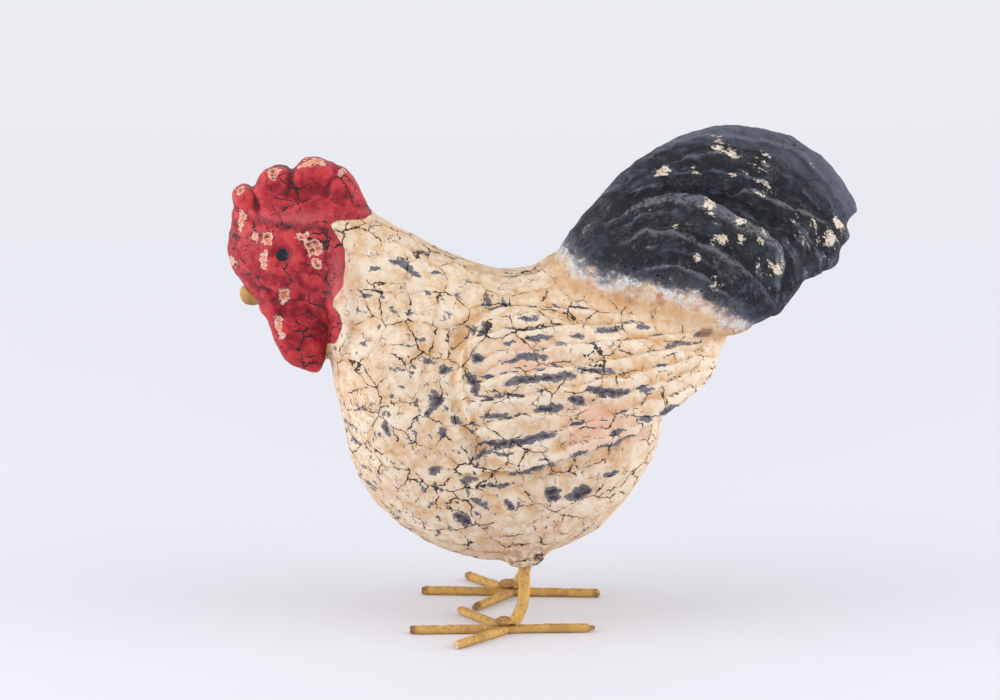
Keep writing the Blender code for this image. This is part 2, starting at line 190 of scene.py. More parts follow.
class CarvingSizes(bpy.types.PropertyGroup):
    """Sizes of the carving's surface"""

    def length(name, description, millimetres, **limits):
        """A length property whose default is given in millimetres."""
        return bpy.props.FloatProperty(
            name=name, description=description, default=millimetres * MM, unit="LENGTH",
            precision=5, **limits,
        )  # fmt: skip

    grain: length("Grain", "Size of the carving's even faces", 1.05, min=0.6 * MM, max=4 * MM)
    swell: length("Swell", "How far the frame's parts grow to close the gaps between them", 0.5)
    rounding: bpy.props.IntProperty(
        name="Rounding", description="Passes that soften the frame's edges", default=24, min=0
    )
    lump_height: length("Lump height", "Height of the broad hand-made lumps", 1.5)
    lump_size: length("Lump size", "Width of the broad lumps", 24)
    knob_height: length("Knob height", "Height of the lumps on comb, wattles and tail", 1.5)
    knob_size: length("Knob size", "Width of the small lumps", 9)
    strip_width: length("Strip width", "Width of a feather strip on the wing", 9)
    strip_depth: length("Strip depth", "Depth of the cuts between the wing's strips", 1.1)

    del length


class PaintColours(bpy.types.PropertyGroup):
    """Colours of the paints, the wire and the ground coat"""

    def colour(name, description, red, green, blue):
        """A colour property whose default is given as it looks on a screen, from 0 to 255."""
        linear = [((v / 255 + 0.055) / 1.055) ** 2.4 for v in (red, green, blue)]
        return bpy.props.FloatVectorProperty(
            name=name, description=description, default=linear, size=3,
            subtype="COLOR", min=0, max=1,
        )  # fmt: skip

    cream: colour("Cream", "Body paint", 231, 208, 178)
    # Also painted shade: the body paint takes more of this stain in its hollows.
    stain: colour("Stain", "Ochre stain on the body paint", 206, 158, 106)
    pale: colour("Pale", "Bare ground coat", 240, 230, 216)
    pink: colour("Pink", "Rubbed pink on wing and cheek", 226, 172, 148)
    slate: colour("Slate", "Grey-blue rims of the strokes on the body", 98, 93, 104)
    stroke: colour("Stroke", "Dark middles of the strokes on the body", 62, 50, 58)
    crack: colour("Crack", "Dirt in the cracks", 38, 28, 27)
    salmon: colour("Salmon", "Ground coat inside the chips of the face", 230, 138, 106)
    dusty_red: colour("Dusty red", "Red paint under dust", 186, 96, 100)
    red: colour("Red", "Face and comb paint", 152, 21, 37)
    # Darker red for painted shade in the hollows and for random darker patches.
    deep_red: colour("Deep red", "Red paint in the hollows", 92, 10, 22)
    # Lighter red for painted highlight on the lumps and for paint worn thin.
    bright_red: colour("Bright red", "Red paint worn thin", 208, 62, 66)
    black: colour("Black", "Tail paint", 27, 28, 36)
    # Also painted highlight along the tail's ridges.
    dust: colour("Dust", "Dust on the tail's ridges", 140, 132, 126)
    # Also painted highlight on the tail's brows, ridges and top rim.
    worn_black: colour("Worn black", "Tail paint worn thin on the ridges", 96, 101, 115)
    filler: colour("Filler", "Smeared filler at the tail's root", 228, 226, 226)
    rust: colour("Rust", "Orange-brown stains on the filler", 178, 116, 70)
    ochre: colour("Ochre", "Paint on the wire", 206, 160, 84)
    earth: colour("Earth", "Dirt on the wire", 126, 88, 56)
    beak: colour("Beak", "Beak paint", 198, 150, 84)
    wood: colour("Wood", "Bare wood inside the body", 190, 148, 100)

    del colour


class StageSizes(bpy.types.PropertyGroup):
    """Camera and light"""

    distance: bpy.props.FloatProperty(
        name="Distance", description="From the camera to the middle of the rooster",
        default=2.35, unit="LENGTH",
    )  # fmt: skip
    elevation: bpy.props.FloatProperty(
        name="Elevation", description="How far the camera looks down",
        default=math.radians(12), subtype="ANGLE",
    )  # fmt: skip
    lens: bpy.props.FloatProperty(
        name="Lens", description="Focal length in millimetres", default=160.7, min=20
    )
    aim: bpy.props.FloatVectorProperty(
        name="Aim", description="The point that the camera looks at",
        default=(-0.0218, 0, 0.1435), size=3, subtype="TRANSLATION",
    )  # fmt: skip
    # Only the floor near the rooster takes this colour; further back the floor and wall are painted
    # near white as painted light.
    backdrop: bpy.props.FloatVectorProperty(
        name="Backdrop", description="Colour of the floor and the wall behind",
        default=(0.755, 0.75, 0.795), size=3, subtype="COLOR", min=0, max=1,
    )  # fmt: skip


# Nodes ------------------------------------------------------------------------------------------


class Wire:
    """One output socket, with arithmetic that adds its Math or Vector Math nodes."""

    def __init__(self, bench, socket):
        self.bench = bench
        self.socket = socket

    def is_vector(self):
        return self.socket.type in ("VECTOR", "RGBA")

    def join(self, operation, first, second):
        if any(isinstance(v, Wire) and v.is_vector() for v in (first, second)):
            return self.join_vectors(operation, first, second)
        return self.bench.add("ShaderNodeMath", {"operation": operation}, {0: first, 1: second})

    def join_vectors(self, operation, first, second):
        if operation == "MULTIPLY":
            vector, factor = (first, second) if first is self else (second, first)
            single = isinstance(factor, (int, float)) or (
                isinstance(factor, Wire) and not factor.is_vector()
            )
            if single:
                return self.bench.add(
                    "ShaderNodeVectorMath", {"operation": "SCALE"}, {0: vector, "Scale": factor}
                )
        return self.bench.add(
            "ShaderNodeVectorMath", {"operation": operation}, {0: first, 1: second}
        )

    def __add__(self, other):
        return self.join("ADD", self, other)

    __radd__ = __add__

    def __sub__(self, other):
        return self.join("SUBTRACT", self, other)

    def __rsub__(self, other):
        return self.join("SUBTRACT", other, self)

    def __mul__(self, other):
        return self.join("MULTIPLY", self, other)

    __rmul__ = __mul__

    def __truediv__(self, other):
        return self.join("DIVIDE", self, other)

    def most(self, other):
        return self.join("MAXIMUM", self, other)

    def least(self, other):
        return self.join("MINIMUM", self, other)

    def over(self, level, softness):
        """0 below the level and 1 above it, over the given softness."""
        inputs = {0: self, 1: level - softness / 2, 2: level + softness / 2}
        return self.bench.add(
            "ShaderNodeMapRange", {"interpolation_type": "SMOOTHSTEP"}, inputs
        )

    def under(self, level, softness):
        return 1 - self.over(level, softness)


class Bench:
    """A node tree under construction."""

    def __init__(self, tree):
        self.tree = tree
        self.found = {}

    def add(self, kind, settings=None, inputs=None, output=0):
        """One output of a new node: its settings come first, then its inputs by name or number."""
        node = self.tree.nodes.new(kind)
        for name, value in (settings or {}).items():
            setattr(node, name, value)
        for key, value in (inputs or {}).items():
            socket = self.pick(node.inputs, key)
            if isinstance(value, Wire):
                self.tree.links.new(value.socket, socket)
            else:
                socket.default_value = value
        return Wire(self, self.pick(node.outputs, output)) if node.outputs else None

    @staticmethod
    def pick(sockets, key):
        if isinstance(key, int):
            return sockets[key]
        return next(s for s in sockets if s.name == key and s.enabled)

    def once(self, key, make):
        """The value made the first time that this key was asked for."""
        if key not in self.found:
            self.found[key] = make()
        return self.found[key]

    def millimetres(self):
        """Object coordinates in millimetres."""
        return self.once(
            "mm", lambda: self.add("ShaderNodeTexCoord", output="Object") * (1 / MM)
        )

    def attribute(self, name):
        settings = {"attribute_name": name, "attribute_type": "GEOMETRY"}
        return self.once(name, lambda: self.add("ShaderNodeAttribute", settings, output="Fac"))

    def noise(self, size, detail, roughness, shift, output="Fac", at=None):
        """Cloudy noise from 0 to 1 whose blobs are about size millimetres wide."""
        place = (at or self.millimetres()) + (shift, shift * 0.7, -shift)
        inputs = {"Vector": place, "Scale": 1 / size, "Detail": detail, "Roughness": roughness}
        return self.add("ShaderNodeTexNoise", inputs=inputs, output=output)

    def cell_edge(self, at, size):
        """Distance in millimetres to the nearest edge between cells of the given size."""
        settings = {"feature": "DISTANCE_TO_EDGE"}
        inputs = {"Vector": at, "Scale": 1 / size}
        return self.add("ShaderNodeTexVoronoi", settings, inputs, "Distance") * size

    def mix(self, share, *colours):
        """The first colour where share is 0 and the second where it is 1; paints may be named."""
        paints = bpy.context.scene.rooster_paint
        first, second = (
            (*getattr(paints, colour), 1.0) if isinstance(colour, str) else colour
            for colour in colours
        )
        settings = {"data_type": "RGBA", "clamp_factor": True}
        return self.add("ShaderNodeMix", settings, {0: share, 6: first, 7: second}, 2)


def finished_material(name, make, **constants):
    """The material of that name. make(bench) gives its colour, roughness and height in millimetres."""
    material = bpy.data.materials.get(name)
    if material:
        return material
    material = bpy.data.materials.new(name)
    material.use_nodes = True
    material.node_tree.nodes.clear()
    bench = Bench(material.node_tree)
    colour, roughness, height = make(bench)
    normal = bench.add("ShaderNodeBump", inputs={"Height": height, "Distance": MM, "Strength": 1.0})
    inputs = {
        "Base Color": colour, "Roughness": roughness, "Normal": normal,
        "Specular IOR Level": 0.3, **constants,
    }  # fmt: skip
    shader = bench.add("ShaderNodeBsdfPrincipled", inputs=inputs)
    bench.add("ShaderNodeOutputMaterial", inputs={"Surface": shader})
    return material


# Paints -----------------------------------------------------------------------------------------


def torn_place(bench, amount=3.0, size=7.0):
    """Millimetre coordinates pushed about, so that edges drawn on them are ragged."""

    def make():
        mm = bench.millimetres()
        broad = bench.noise(size, 3.0, 0.6, 3.0, "Color") - (0.5, 0.5, 0.5)
        fine = bench.noise(2.0, 3.0, 0.6, 13.0, "Color") - (0.5, 0.5, 0.5)
        return mm + broad * (2 * amount) + fine * 1.6

    return bench.once(f"torn {amount} {size}", make)


def crackle(bench, size, width, cover, shift=0.0):
    """Share of crack, 0 to 1: ragged edges of cells, which thin out and stop here and there."""
    place = torn_place(bench) * (1.0, 1.0, 1.3) + (shift, shift, -shift)
    edge = bench.cell_edge(place, size)
    spread = bench.noise(size * 1.2, 3.0, 0.6, shift + 11.0).over(1 - cover, 0.12)
    broken = bench.noise(size * 0.3, 2.0, 0.6, shift + 19.0).over(0.43, 0.2)
    return ((spread * broken * width - edge) / 0.1 + 0.2).most(0.0).least(1.0)


def ragged(bench, name, fine=1.6, broad=2.0):
    """A distance that was stored on the surface, with its edge made ragged."""
    return (
        bench.attribute(name)
        + (bench.noise(1.6, 3.0, 0.65, 5.0) - 0.5) * fine
        + (bench.noise(6.0, 2.0, 0.5, 9.0) - 0.5) * broad
    )


def flaky(bench, name, reach, slope, shift):
    """Noise from 0 to 1 that is raised inside the marks stored under a name and lowered outside."""
    mm = bench.millimetres()
    inside = bench.attribute(name).most(-reach).least(reach)
    return bench.noise(2.3, 5.0, 0.75, shift, at=mm * (0.8, 1.0, 1.0)) + inside * slope


def cream_coat(bench):
    """Body paint: cream over ground coat, with ochre stain that deepens in the hollows as painted
    shade, crackled and struck with slate strokes.
    """
    cloud = bench.noise(20.0, 4.0, 0.65, 1.0)
    blotch = bench.noise(6.0, 5.0, 0.7, 2.0)
    fine = bench.noise(1.5, 4.0, 0.7, 4.0)
    hollow = bench.attribute("hollow")
    wide = crackle(bench, 17.0, 0.36, 0.52)
    thin = crackle(bench, 7.5, 0.25, 0.40, 7.0)
    cracks = wide.most(thin * 0.75)
    near_crack = bench.cell_edge(torn_place(bench) * (1.0, 1.0, 1.3), 17.0).under(1.8, 3.6)

    colour = bench.mix(blotch.over(0.52, 0.24) * 0.5, "cream", "pale")
    stain_and_hollow_shade = cloud.over(0.5, 0.3) * 0.34 + blotch.under(0.45, 0.2) * 0.42 + near_crack * 0.25
    # More stain in the hollows: partly dirt, partly painted shade that shows the relief.
    stain_and_hollow_shade = (stain_and_hollow_shade + hollow * 1.2).most(0.0) * (0.3 + 1.3 * fine)
    colour = bench.mix(stain_and_hollow_shade, colour, "stain")
    pink = bench.attribute("pink") * bench.noise(5.0, 3.0, 0.6, 8.0).over(0.42, 0.3)
    colour = bench.mix(pink * 0.8, colour, "pink")
    stroke = flaky(bench, "stroke", 2.2, 0.14, 5.0)
    halo, rim, core = stroke.over(0.46, 0.05), stroke.over(0.53, 0.05), stroke.over(0.76, 0.16)
    dash = dashes(bench)
    fleck = flecks(bench)
    small = fleck.most(dash)
    colour = bench.mix(halo.most(small.over(0.2, 0.3)) * 0.6, colour, "pale")
    colour = bench.mix(rim.most(small.over(0.55, 0.2)) * 0.92, colour, "slate")
    colour = bench.mix(core.most(dash.over(0.9, 0.2) * 0.6), colour, "stroke")
    colour = bench.mix(cracks * 0.95, colour, "crack")
    height = fine * 0.25 + blotch * 0.4 - rim * 0.35 - core * 0.2 - wide * 0.7 - thin * 0.45
    roughness = 0.62 + 0.2 * blotch - 0.12 * rim
    return colour, roughness, height


def dashes(bench):
    """Broken dark dashes along the edges of the wing's feather strips."""
    mm = bench.millimetres()
    reach = (1.3 - bench.attribute("strip_edge")).most(-3.0)
    broken = bench.noise(2.6, 4.0, 0.7, 25.0, at=mm * (0.3, 1.0, 1.0))
    return ((broken + reach * 0.10 - 0.60) / 0.07).most(0.0).least(1.0)


def flecks(bench):
    """Small dark upright flecks, thick on the breast and thin elsewhere."""
    mm = bench.millimetres()
    speck = bench.noise(2.4, 4.0, 0.65, 21.0, at=mm * (1.0, 1.0, 0.42))
    patch = bench.noise(10.0, 2.0, 0.5, 23.0)
    off_wing = bench.attribute("strip_edge").over(5.0, 2.0)
    level = 0.77 - bench.attribute("breast") * 0.04 - patch * 0.16 - off_wing * 0.07
    return ((speck - level) / 0.05).most(0.0).least(1.0)


def red_coat(bench):
    """Face paint: red, darker in the hollows as painted shade and lighter on the lumps as painted
    highlight and wear, with black cracks and chips down to the ground coat.
    """
    cloud = bench.noise(9.0, 4.0, 0.65, 31.0)
    fine = bench.noise(1.4, 4.0, 0.65, 32.0)
    hollow = bench.attribute("hollow")
    thin_cracks = crackle(bench, 6.0, 0.26, 0.36, 23.0)
    cracks = crackle(bench, 12.0, 0.44, 0.5, 17.0).most(thin_cracks * 0.8)
    # Painted shade: the red darkens in the hollows, and at random under the cloud.
    deep = hollow * 1.4 + (cloud - 0.48) * 2.0
    colour = bench.mix(deep.most(0.0).least(1.0), "red", "deep_red")
    # Painted highlight on the lumps, where the paint is also worn thin, and lighter at random.
    thin = (0.0 - hollow) * 1.6 + fine.over(0.56, 0.2) * 0.4 + cloud.under(0.42, 0.14) * 0.35
    colour = bench.mix(thin.most(0.0).least(0.85), colour, "bright_red")
    dusty = bench.attribute("pink") * fine.over(0.4, 0.3) * 0.6
    colour = bench.mix(dusty, colour, "dusty_red")
    chip = flaky(bench, "chip", 3.0, 0.12, 33.0)
    bare = chip.over(0.54, 0.05).most(fine.over(0.74, 0.03) * 0.8)
    core = chip.over(0.80, 0.06) * bench.noise(2.4, 3.0, 0.6, 37.0).over(0.48, 0.1)
    ground = bench.mix(chip.over(0.60, 0.08), "pale", "salmon")
    ground = bench.mix(fine.over(0.60, 0.1) * 0.7, ground, "pale")
    ground = bench.mix(core, ground, "stroke")
    cracks = cracks * (1 - bare * 0.7)
    colour = bench.mix(bare, colour, ground)
    colour = bench.mix(cracks, colour, "crack")
    height = fine * 0.25 + cloud * 0.8 - bare * 0.35 - cracks * 0.7
    roughness = 0.24 + 0.34 * fine + bare * 0.2
    return colour, roughness, height


def black_coat(bench):
    """Tail paint: blue-black, dusty and thin along the ridges, lighter on the ridges and the top rim as
    painted highlight, and chipped to the ground coat.
    """
    cloud = bench.noise(14.0, 4.0, 0.6, 41.0)
    fine = bench.noise(1.4, 4.0, 0.65, 42.0)
    arched = {0: bench.attribute("arch"), 1: bench.attribute("turn") * 0.22, 2: 0.0}
    arched = bench.add("ShaderNodeCombineXYZ", inputs=arched)
    streak = bench.noise(3.4, 6.0, 0.72, 43.0, at=arched + torn_place(bench, 1.0, 9.0) * 0.15)
    hollow = bench.attribute("hollow")
    step = bench.attribute("step")
    # Dust on the brows of the feathers' steps, which also stands in as painted highlight along them.
    ridge_dust_and_highlight = step.over(0.5, 0.5) * (fine * 0.6 + streak * 0.7).over(0.62, 0.16) * 0.75
    dusty = ridge_dust_and_highlight + cloud.over(0.56, 0.2) * fine.over(0.5, 0.25) * 0.22
    colour = bench.mix(dusty.least(0.75), "black", "dust")
    # Lighter black: paint worn thin at random and at the black's edge, and painted highlight on the
    # brows, the rounded ridges and the top rim.
    worn = (step - 0.1).most(0.0) * streak.over(0.5, 0.15) * 0.5 + cloud.under(0.42, 0.12) * 0.2
    worn = worn + (0.0 - hollow - 0.1).most(0.0) * streak.over(0.45, 0.2) * 0.8
    worn = worn + streak.over(0.58, 0.06) * 0.5 + fine.over(0.62, 0.1) * 0.2
    # Painted highlight: a band along the tail's top rim is lighter.
    worn = worn + bench.attribute("arch").over(82.0, 5.0) * (0.2 + 0.6 * streak)
    worn = worn + (bench.attribute("black") + (cloud - 0.5) * 14).under(6.0, 12.0) * 0.45
    colour = bench.mix(worn.least(0.8), colour, "worn_black")
    flake = streak + bench.attribute("worn") * 0.2 + fine * 0.32 + step.most(0.0) * 0.03
    bare = flake.over(0.85, 0.04)
    ground = bench.mix(fine.over(0.45, 0.3), "stain", "pale")
    colour = bench.mix(bare, colour, ground)
    cracks = crackle(bench, 10.0, 0.34, 0.44, 47.0)
    colour = bench.mix(cracks * 0.8, colour, "crack")
    height = fine * 0.3 + streak * 1.6 - bare * 0.3 - cracks * 0.6
    roughness = 0.42 + 0.35 * fine + bare * 0.2
    return colour, roughness, height


def filler_coat(bench, body):
    """The smeared filler at the tail's root: pale, with bluish black and orange-brown stains."""
    near = bench.attribute("black") + (bench.noise(13.0, 5.0, 0.65, 51.0) - 0.5) * 22.0
    ochre = near.over(-16.0, 10.0)
    patch = bench.noise(15.0, 4.0, 0.6, 55.0).over(0.47, 0.12)
    pale = bench.noise(5.0, 4.0, 0.7, 52.0).over(0.43, 0.14)
    pale = near.over(-6.5, 7.0) * (0.25 + 0.75 * patch) * pale
    smear = near.over(-2.5, 7.0) * bench.noise(3.5, 5.0, 0.75, 54.0).over(0.47, 0.14)
    colour = bench.mix(ochre * 0.5, body[0], "stain")
    rust = bench.noise(6.0, 4.0, 0.6, 53.0).over(0.55, 0.14) * near.over(-10.0, 5.0)
    colour = bench.mix(rust * 0.6, colour, "rust")
    colour = bench.mix(pale * 0.85, colour, "filler")
    colour = bench.mix(smear * 0.85, colour, "worn_black")
    return colour, body[1], body[2] * (1 - ochre * 0.7)


def over_coat(bench, share, under, upper):
    """Two coats, each a colour, a roughness and a height: upper where share is 1."""
    return (
        bench.mix(share, under[0], upper[0]),
        under[1] * (1 - share) + upper[1] * share,
        under[2] * (1 - share) + (upper[2] + 0.12) * share,
    )


def with_red(bench, coat):
    """The red of the face over another coat, up to its painted edge."""
    return over_coat(bench, ragged(bench, "red", 1.0, 1.4).over(0.0, 0.5), coat, red_coat(bench))


def with_black(bench, coat):
    """The black of the tail over another coat, up to its smeared edge."""
    black = ragged(bench, "black", 5.0, 8.0).over(1.5, 4.0)
    return over_coat(bench, black, coat, black_coat(bench))


def body_paint(bench):
    """Cream with the red face, its painted eyes, and the tail's root."""
    return painted_eye(bench, with_black(bench, with_red(bench, wing_paint(bench))))


def painted_eye(bench, coat):
    """A dark disc of paint with a light scratch across it."""
    mm = bench.millimetres()
    disc = ragged(bench, "eye", 0.5, 0.4).over(0.0, 0.35)
    scratch = bench.noise(1.6, 2.0, 0.5, 61.0, at=mm * (1.0, 1.0, 0.3)).over(0.6, 0.1)
    pupil = bench.mix(scratch * 0.5, "black", "worn_black")
    return bench.mix(disc, coat[0], pupil), coat[1] - disc * 0.2, coat[2]


def wing_paint(bench):
    """The body's cream, run up to the tail's root."""
    return filler_coat(bench, cream_coat(bench))


def tail_paint(bench):
    """Black, with the ground coat and filler showing where it stops."""
    return with_black(bench, wing_paint(bench))


def head_paint(bench):
    """Red, with cream where the neck begins."""
    return with_red(bench, cream_coat(bench))


def collar_paint(bench):
    """Cream, dirty where the wire leg comes out."""
    colour, roughness, height = cream_coat(bench)
    dirt = bench.noise(4.0, 4.0, 0.7, 71.0).over(0.5, 0.2)
    return bench.mix(dirt * 0.5, colour, "earth"), roughness, height


def wire_paint(bench):
    """Ochre paint on wire, with brown dirt, greenish specks and bare cut ends."""
    cloud = bench.noise(11.0, 4.0, 0.6, 81.0)
    fine = bench.noise(1.2, 4.0, 0.65, 82.0)
    rub = bench.noise(3.0, 4.0, 0.7, 83.0)
    rubbed = (rub + bench.attribute("upward") * 0.1).over(0.63, 0.12)
    dirt = cloud.over(0.54, 0.2) * 0.35 + rubbed * 0.5
    colour = bench.mix(dirt.least(0.9), "ochre", "earth")
    speck = bench.noise(2.0, 2.0, 0.5, 84.0).over(0.71, 0.04)
    colour = bench.mix(speck, colour, "worn_black")
    colour = bench.mix(fine.over(0.62, 0.2) * 0.35, colour, "cream")
    rough_end = bench.attribute("rough_end") * bench.noise(2.2, 3.0, 0.6, 86.0).over(0.42, 0.2)
    colour = bench.mix(rough_end * 0.9, colour, "earth")
    bare = bench.mix(fine.over(0.5, 0.2), "stain", "cream")
    colour = bench.mix(bench.attribute("cut_end"), colour, bare)
    return colour, 0.42 + 0.3 * fine, fine * 0.15 + cloud * 0.4 + rub * 0.25


def weld_paint(bench):
    """The wire's ochre over lumpy brown metal."""
    colour, roughness, height = wire_paint(bench)
    burnt = bench.noise(3.5, 4.0, 0.7, 85.0).over(0.45, 0.2)
    return bench.mix(burnt * 0.6, colour, "earth"), roughness, height


def beak_paint(bench):
    """Ochre brown with a pale nick near the tip."""
    fine = bench.noise(1.4, 4.0, 0.6, 91.0)
    cloud = bench.noise(6.0, 3.0, 0.6, 92.0)
    colour = bench.mix(cloud.over(0.5, 0.3) * 0.6, "beak", "earth")
    nick = bench.noise(1.8, 2.0, 0.5, 93.0).over(0.74, 0.04)
    colour = bench.mix(nick, colour, "pale")
    return colour, 0.45 + 0.25 * fine, fine * 0.12 + cloud * 0.3


def raw_wood(bench):
    """Bare turned wood, with rings around the grain that runs up."""
    mm = bench.millimetres()
    ring = bench.noise(3.0, 4.0, 0.6, 95.0, at=mm * (1.0, 1.0, 0.08))
    colour = bench.mix(ring, "wood", "stain")
    return colour, 0.7 + 0.1 * ring, ring * 0.3


# Shapes -----------------------------------------------------------------------------------------


def merged_copy(name, swell=0.0):
    """A bmesh of the frame's part with its loose triangles joined, grown by swell."""
    bm = bmesh.new()
    bm.from_mesh(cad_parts[name].data)
    bmesh.ops.remove_doubles(bm, verts=bm.verts, dist=0.001 * MM)
    bm.normal_update()
    moved = [vertex.co + vertex.normal * swell for vertex in bm.verts]
    for vertex, place in zip(bm.verts, moved):
        vertex.co = place
    return bm


def object_of(name, mesh):
    obj = bpy.data.objects.new(name, mesh)
    bpy.context.scene.collection.objects.link(obj)
    return obj


def settle(obj):
    """Makes the object's modifiers real and removes them."""
    graph = bpy.context.evaluated_depsgraph_get()
    made = bpy.data.meshes.new_from_object(obj.evaluated_get(graph))
    obj.modifiers.clear()
    obj.data = made
    return obj


def even_copy(name, parts, swell, grain, lowest=None):
    """One object of even faces around copies of the frame's parts, cut off below lowest[part]."""
    mesh = bpy.data.meshes.new(name)
    together = bmesh.new()
    for part in parts:
        copy = merged_copy(part, swell)
        floor = (lowest or {}).get(part, -1.0)
        for vertex in copy.verts:
            vertex.co.z = max(vertex.co.z, floor)
        copy.to_mesh(mesh)
        copy.free()
        together.from_mesh(mesh)
    together.to_mesh(mesh)
    together.free()
    obj = object_of(name, mesh)
    remesh = obj.modifiers.new("Even faces", "REMESH")
    remesh.mode = "VOXEL"
    remesh.voxel_size = grain
    return settle(obj)


def new_tree(name, inputs):
    """An empty Geometry Nodes tree with named inputs; gives its bench and the wires of its inputs."""
    tree = bpy.data.node_groups.new(name, "GeometryNodeTree")
    tree.interface.new_socket("Geometry", in_out="INPUT", socket_type="NodeSocketGeometry")
    for label, (kind, default) in inputs.items():
        socket = tree.interface.new_socket(label, in_out="INPUT", socket_type=kind)
        if default is not None:
            socket.default_value = default
    tree.interface.new_socket("Geometry", in_out="OUTPUT", socket_type="NodeSocketGeometry")
    bench = Bench(tree)
    source = tree.nodes.new("NodeGroupInput")
    wires = {s.name: Wire(bench, s) for s in source.outputs if s.name}
    return bench, wires


def close_tree(bench, geometry, material):
    """Ends a tree in Realize Instances and Set Material."""
    real = bench.add("GeometryNodeRealizeInstances", inputs={0: geometry})
    done = bench.add("GeometryNodeSetMaterial", inputs={"Geometry": real, "Material": material})
    bench.add("NodeGroupOutput", inputs={0: done})
    return bench.tree


def grow(obj, tree, **values):
    """Runs a tree on the object, with its named inputs set, and keeps the result as a plain mesh."""
    modifier = obj.modifiers.new(tree.name, "NODES")
    modifier.node_group = tree
    sockets = {s.name: s for s in tree.interface.items_tree if s.in_out == "INPUT"}
    for label, value in values.items():
        modifier[sockets[label.replace("_", " ")].identifier] = value
    return settle(obj)


LENGTH = "NodeSocketFloat"
COUNT = "NodeSocketInt"
MATERIAL = "NodeSocketMaterial"


def rounding_tree():
    """Softens a mesh by averaging its points with their neighbours."""
    bench, given = new_tree("Rounded edges", {"Passes": (COUNT, 10), "Material": (MATERIAL, None)})
    place = bench.add("GeometryNodeInputPosition")
    even = bench.add(
        "GeometryNodeBlurAttribute", {"data_type": "FLOAT_VECTOR"},
        {"Value": place, "Iterations": given["Passes"]},
    )  # fmt: skip
    inputs = {"Geometry": given["Geometry"], "Position": even}
    return close_tree(bench, bench.add("GeometryNodeSetPosition", inputs=inputs), given["Material"])


def lump_tree():
    """Raises broad lumps, and small ones where the stored knobby share says, then notes the hollows."""
    lengths = ["Lump height", "Lump size", "Knob height", "Knob size", "Grit height", "Grit size"]
    inputs = {label: (LENGTH, 1.0) for label in lengths}
    bench, given = new_tree("Hand-made lumps", {**inputs, "Material": (MATERIAL, None)})
    place = bench.add("GeometryNodeInputPosition")
    outward = bench.add("GeometryNodeInputNormal")
    knobby = bench.add(
        "GeometryNodeInputNamedAttribute", {"data_type": "FLOAT"}, {"Name": "knobby"}
    )

    def noise(size, shift):
        size = bench.add("ShaderNodeCombineXYZ", inputs={0: size, 1: size, 2: size})
        at = place / size + (shift, shift, shift)
        inputs = {"Vector": at, "Scale": 1.0, "Detail": 2.0}
        return bench.add("ShaderNodeTexNoise", inputs=inputs) - 0.5

    rise = (
        noise(given["Lump size"], 3.0) * given["Lump height"] * 2
        + noise(given["Knob size"], 8.0) * given["Knob height"] * 2 * knobby
        + noise(given["Grit size"], 15.0) * given["Grit height"] * 2
    )
    raised = bench.add(
        "GeometryNodeSetPosition", inputs={"Geometry": given["Geometry"], "Offset": outward * rise}
    )
    average = bench.add(
        "GeometryNodeBlurAttribute", {"data_type": "FLOAT_VECTOR"},
        {"Value": bench.add("GeometryNodeInputPosition"), "Iterations": 12},
    )  # fmt: skip
    sunk = bench.add(
        "ShaderNodeVectorMath", {"operation": "DOT_PRODUCT"},
        {0: average - bench.add("GeometryNodeInputPosition"), 1: outward}, "Value",
    )  # fmt: skip
    noted = bench.add(
        "GeometryNodeStoreNamedAttribute", {"data_type": "FLOAT", "domain": "POINT"},
        {"Geometry": raised, "Name": "hollow", "Value": sunk * (1 / MM)},
    )  # fmt: skip
    return close_tree(bench, noted, given["Material"])


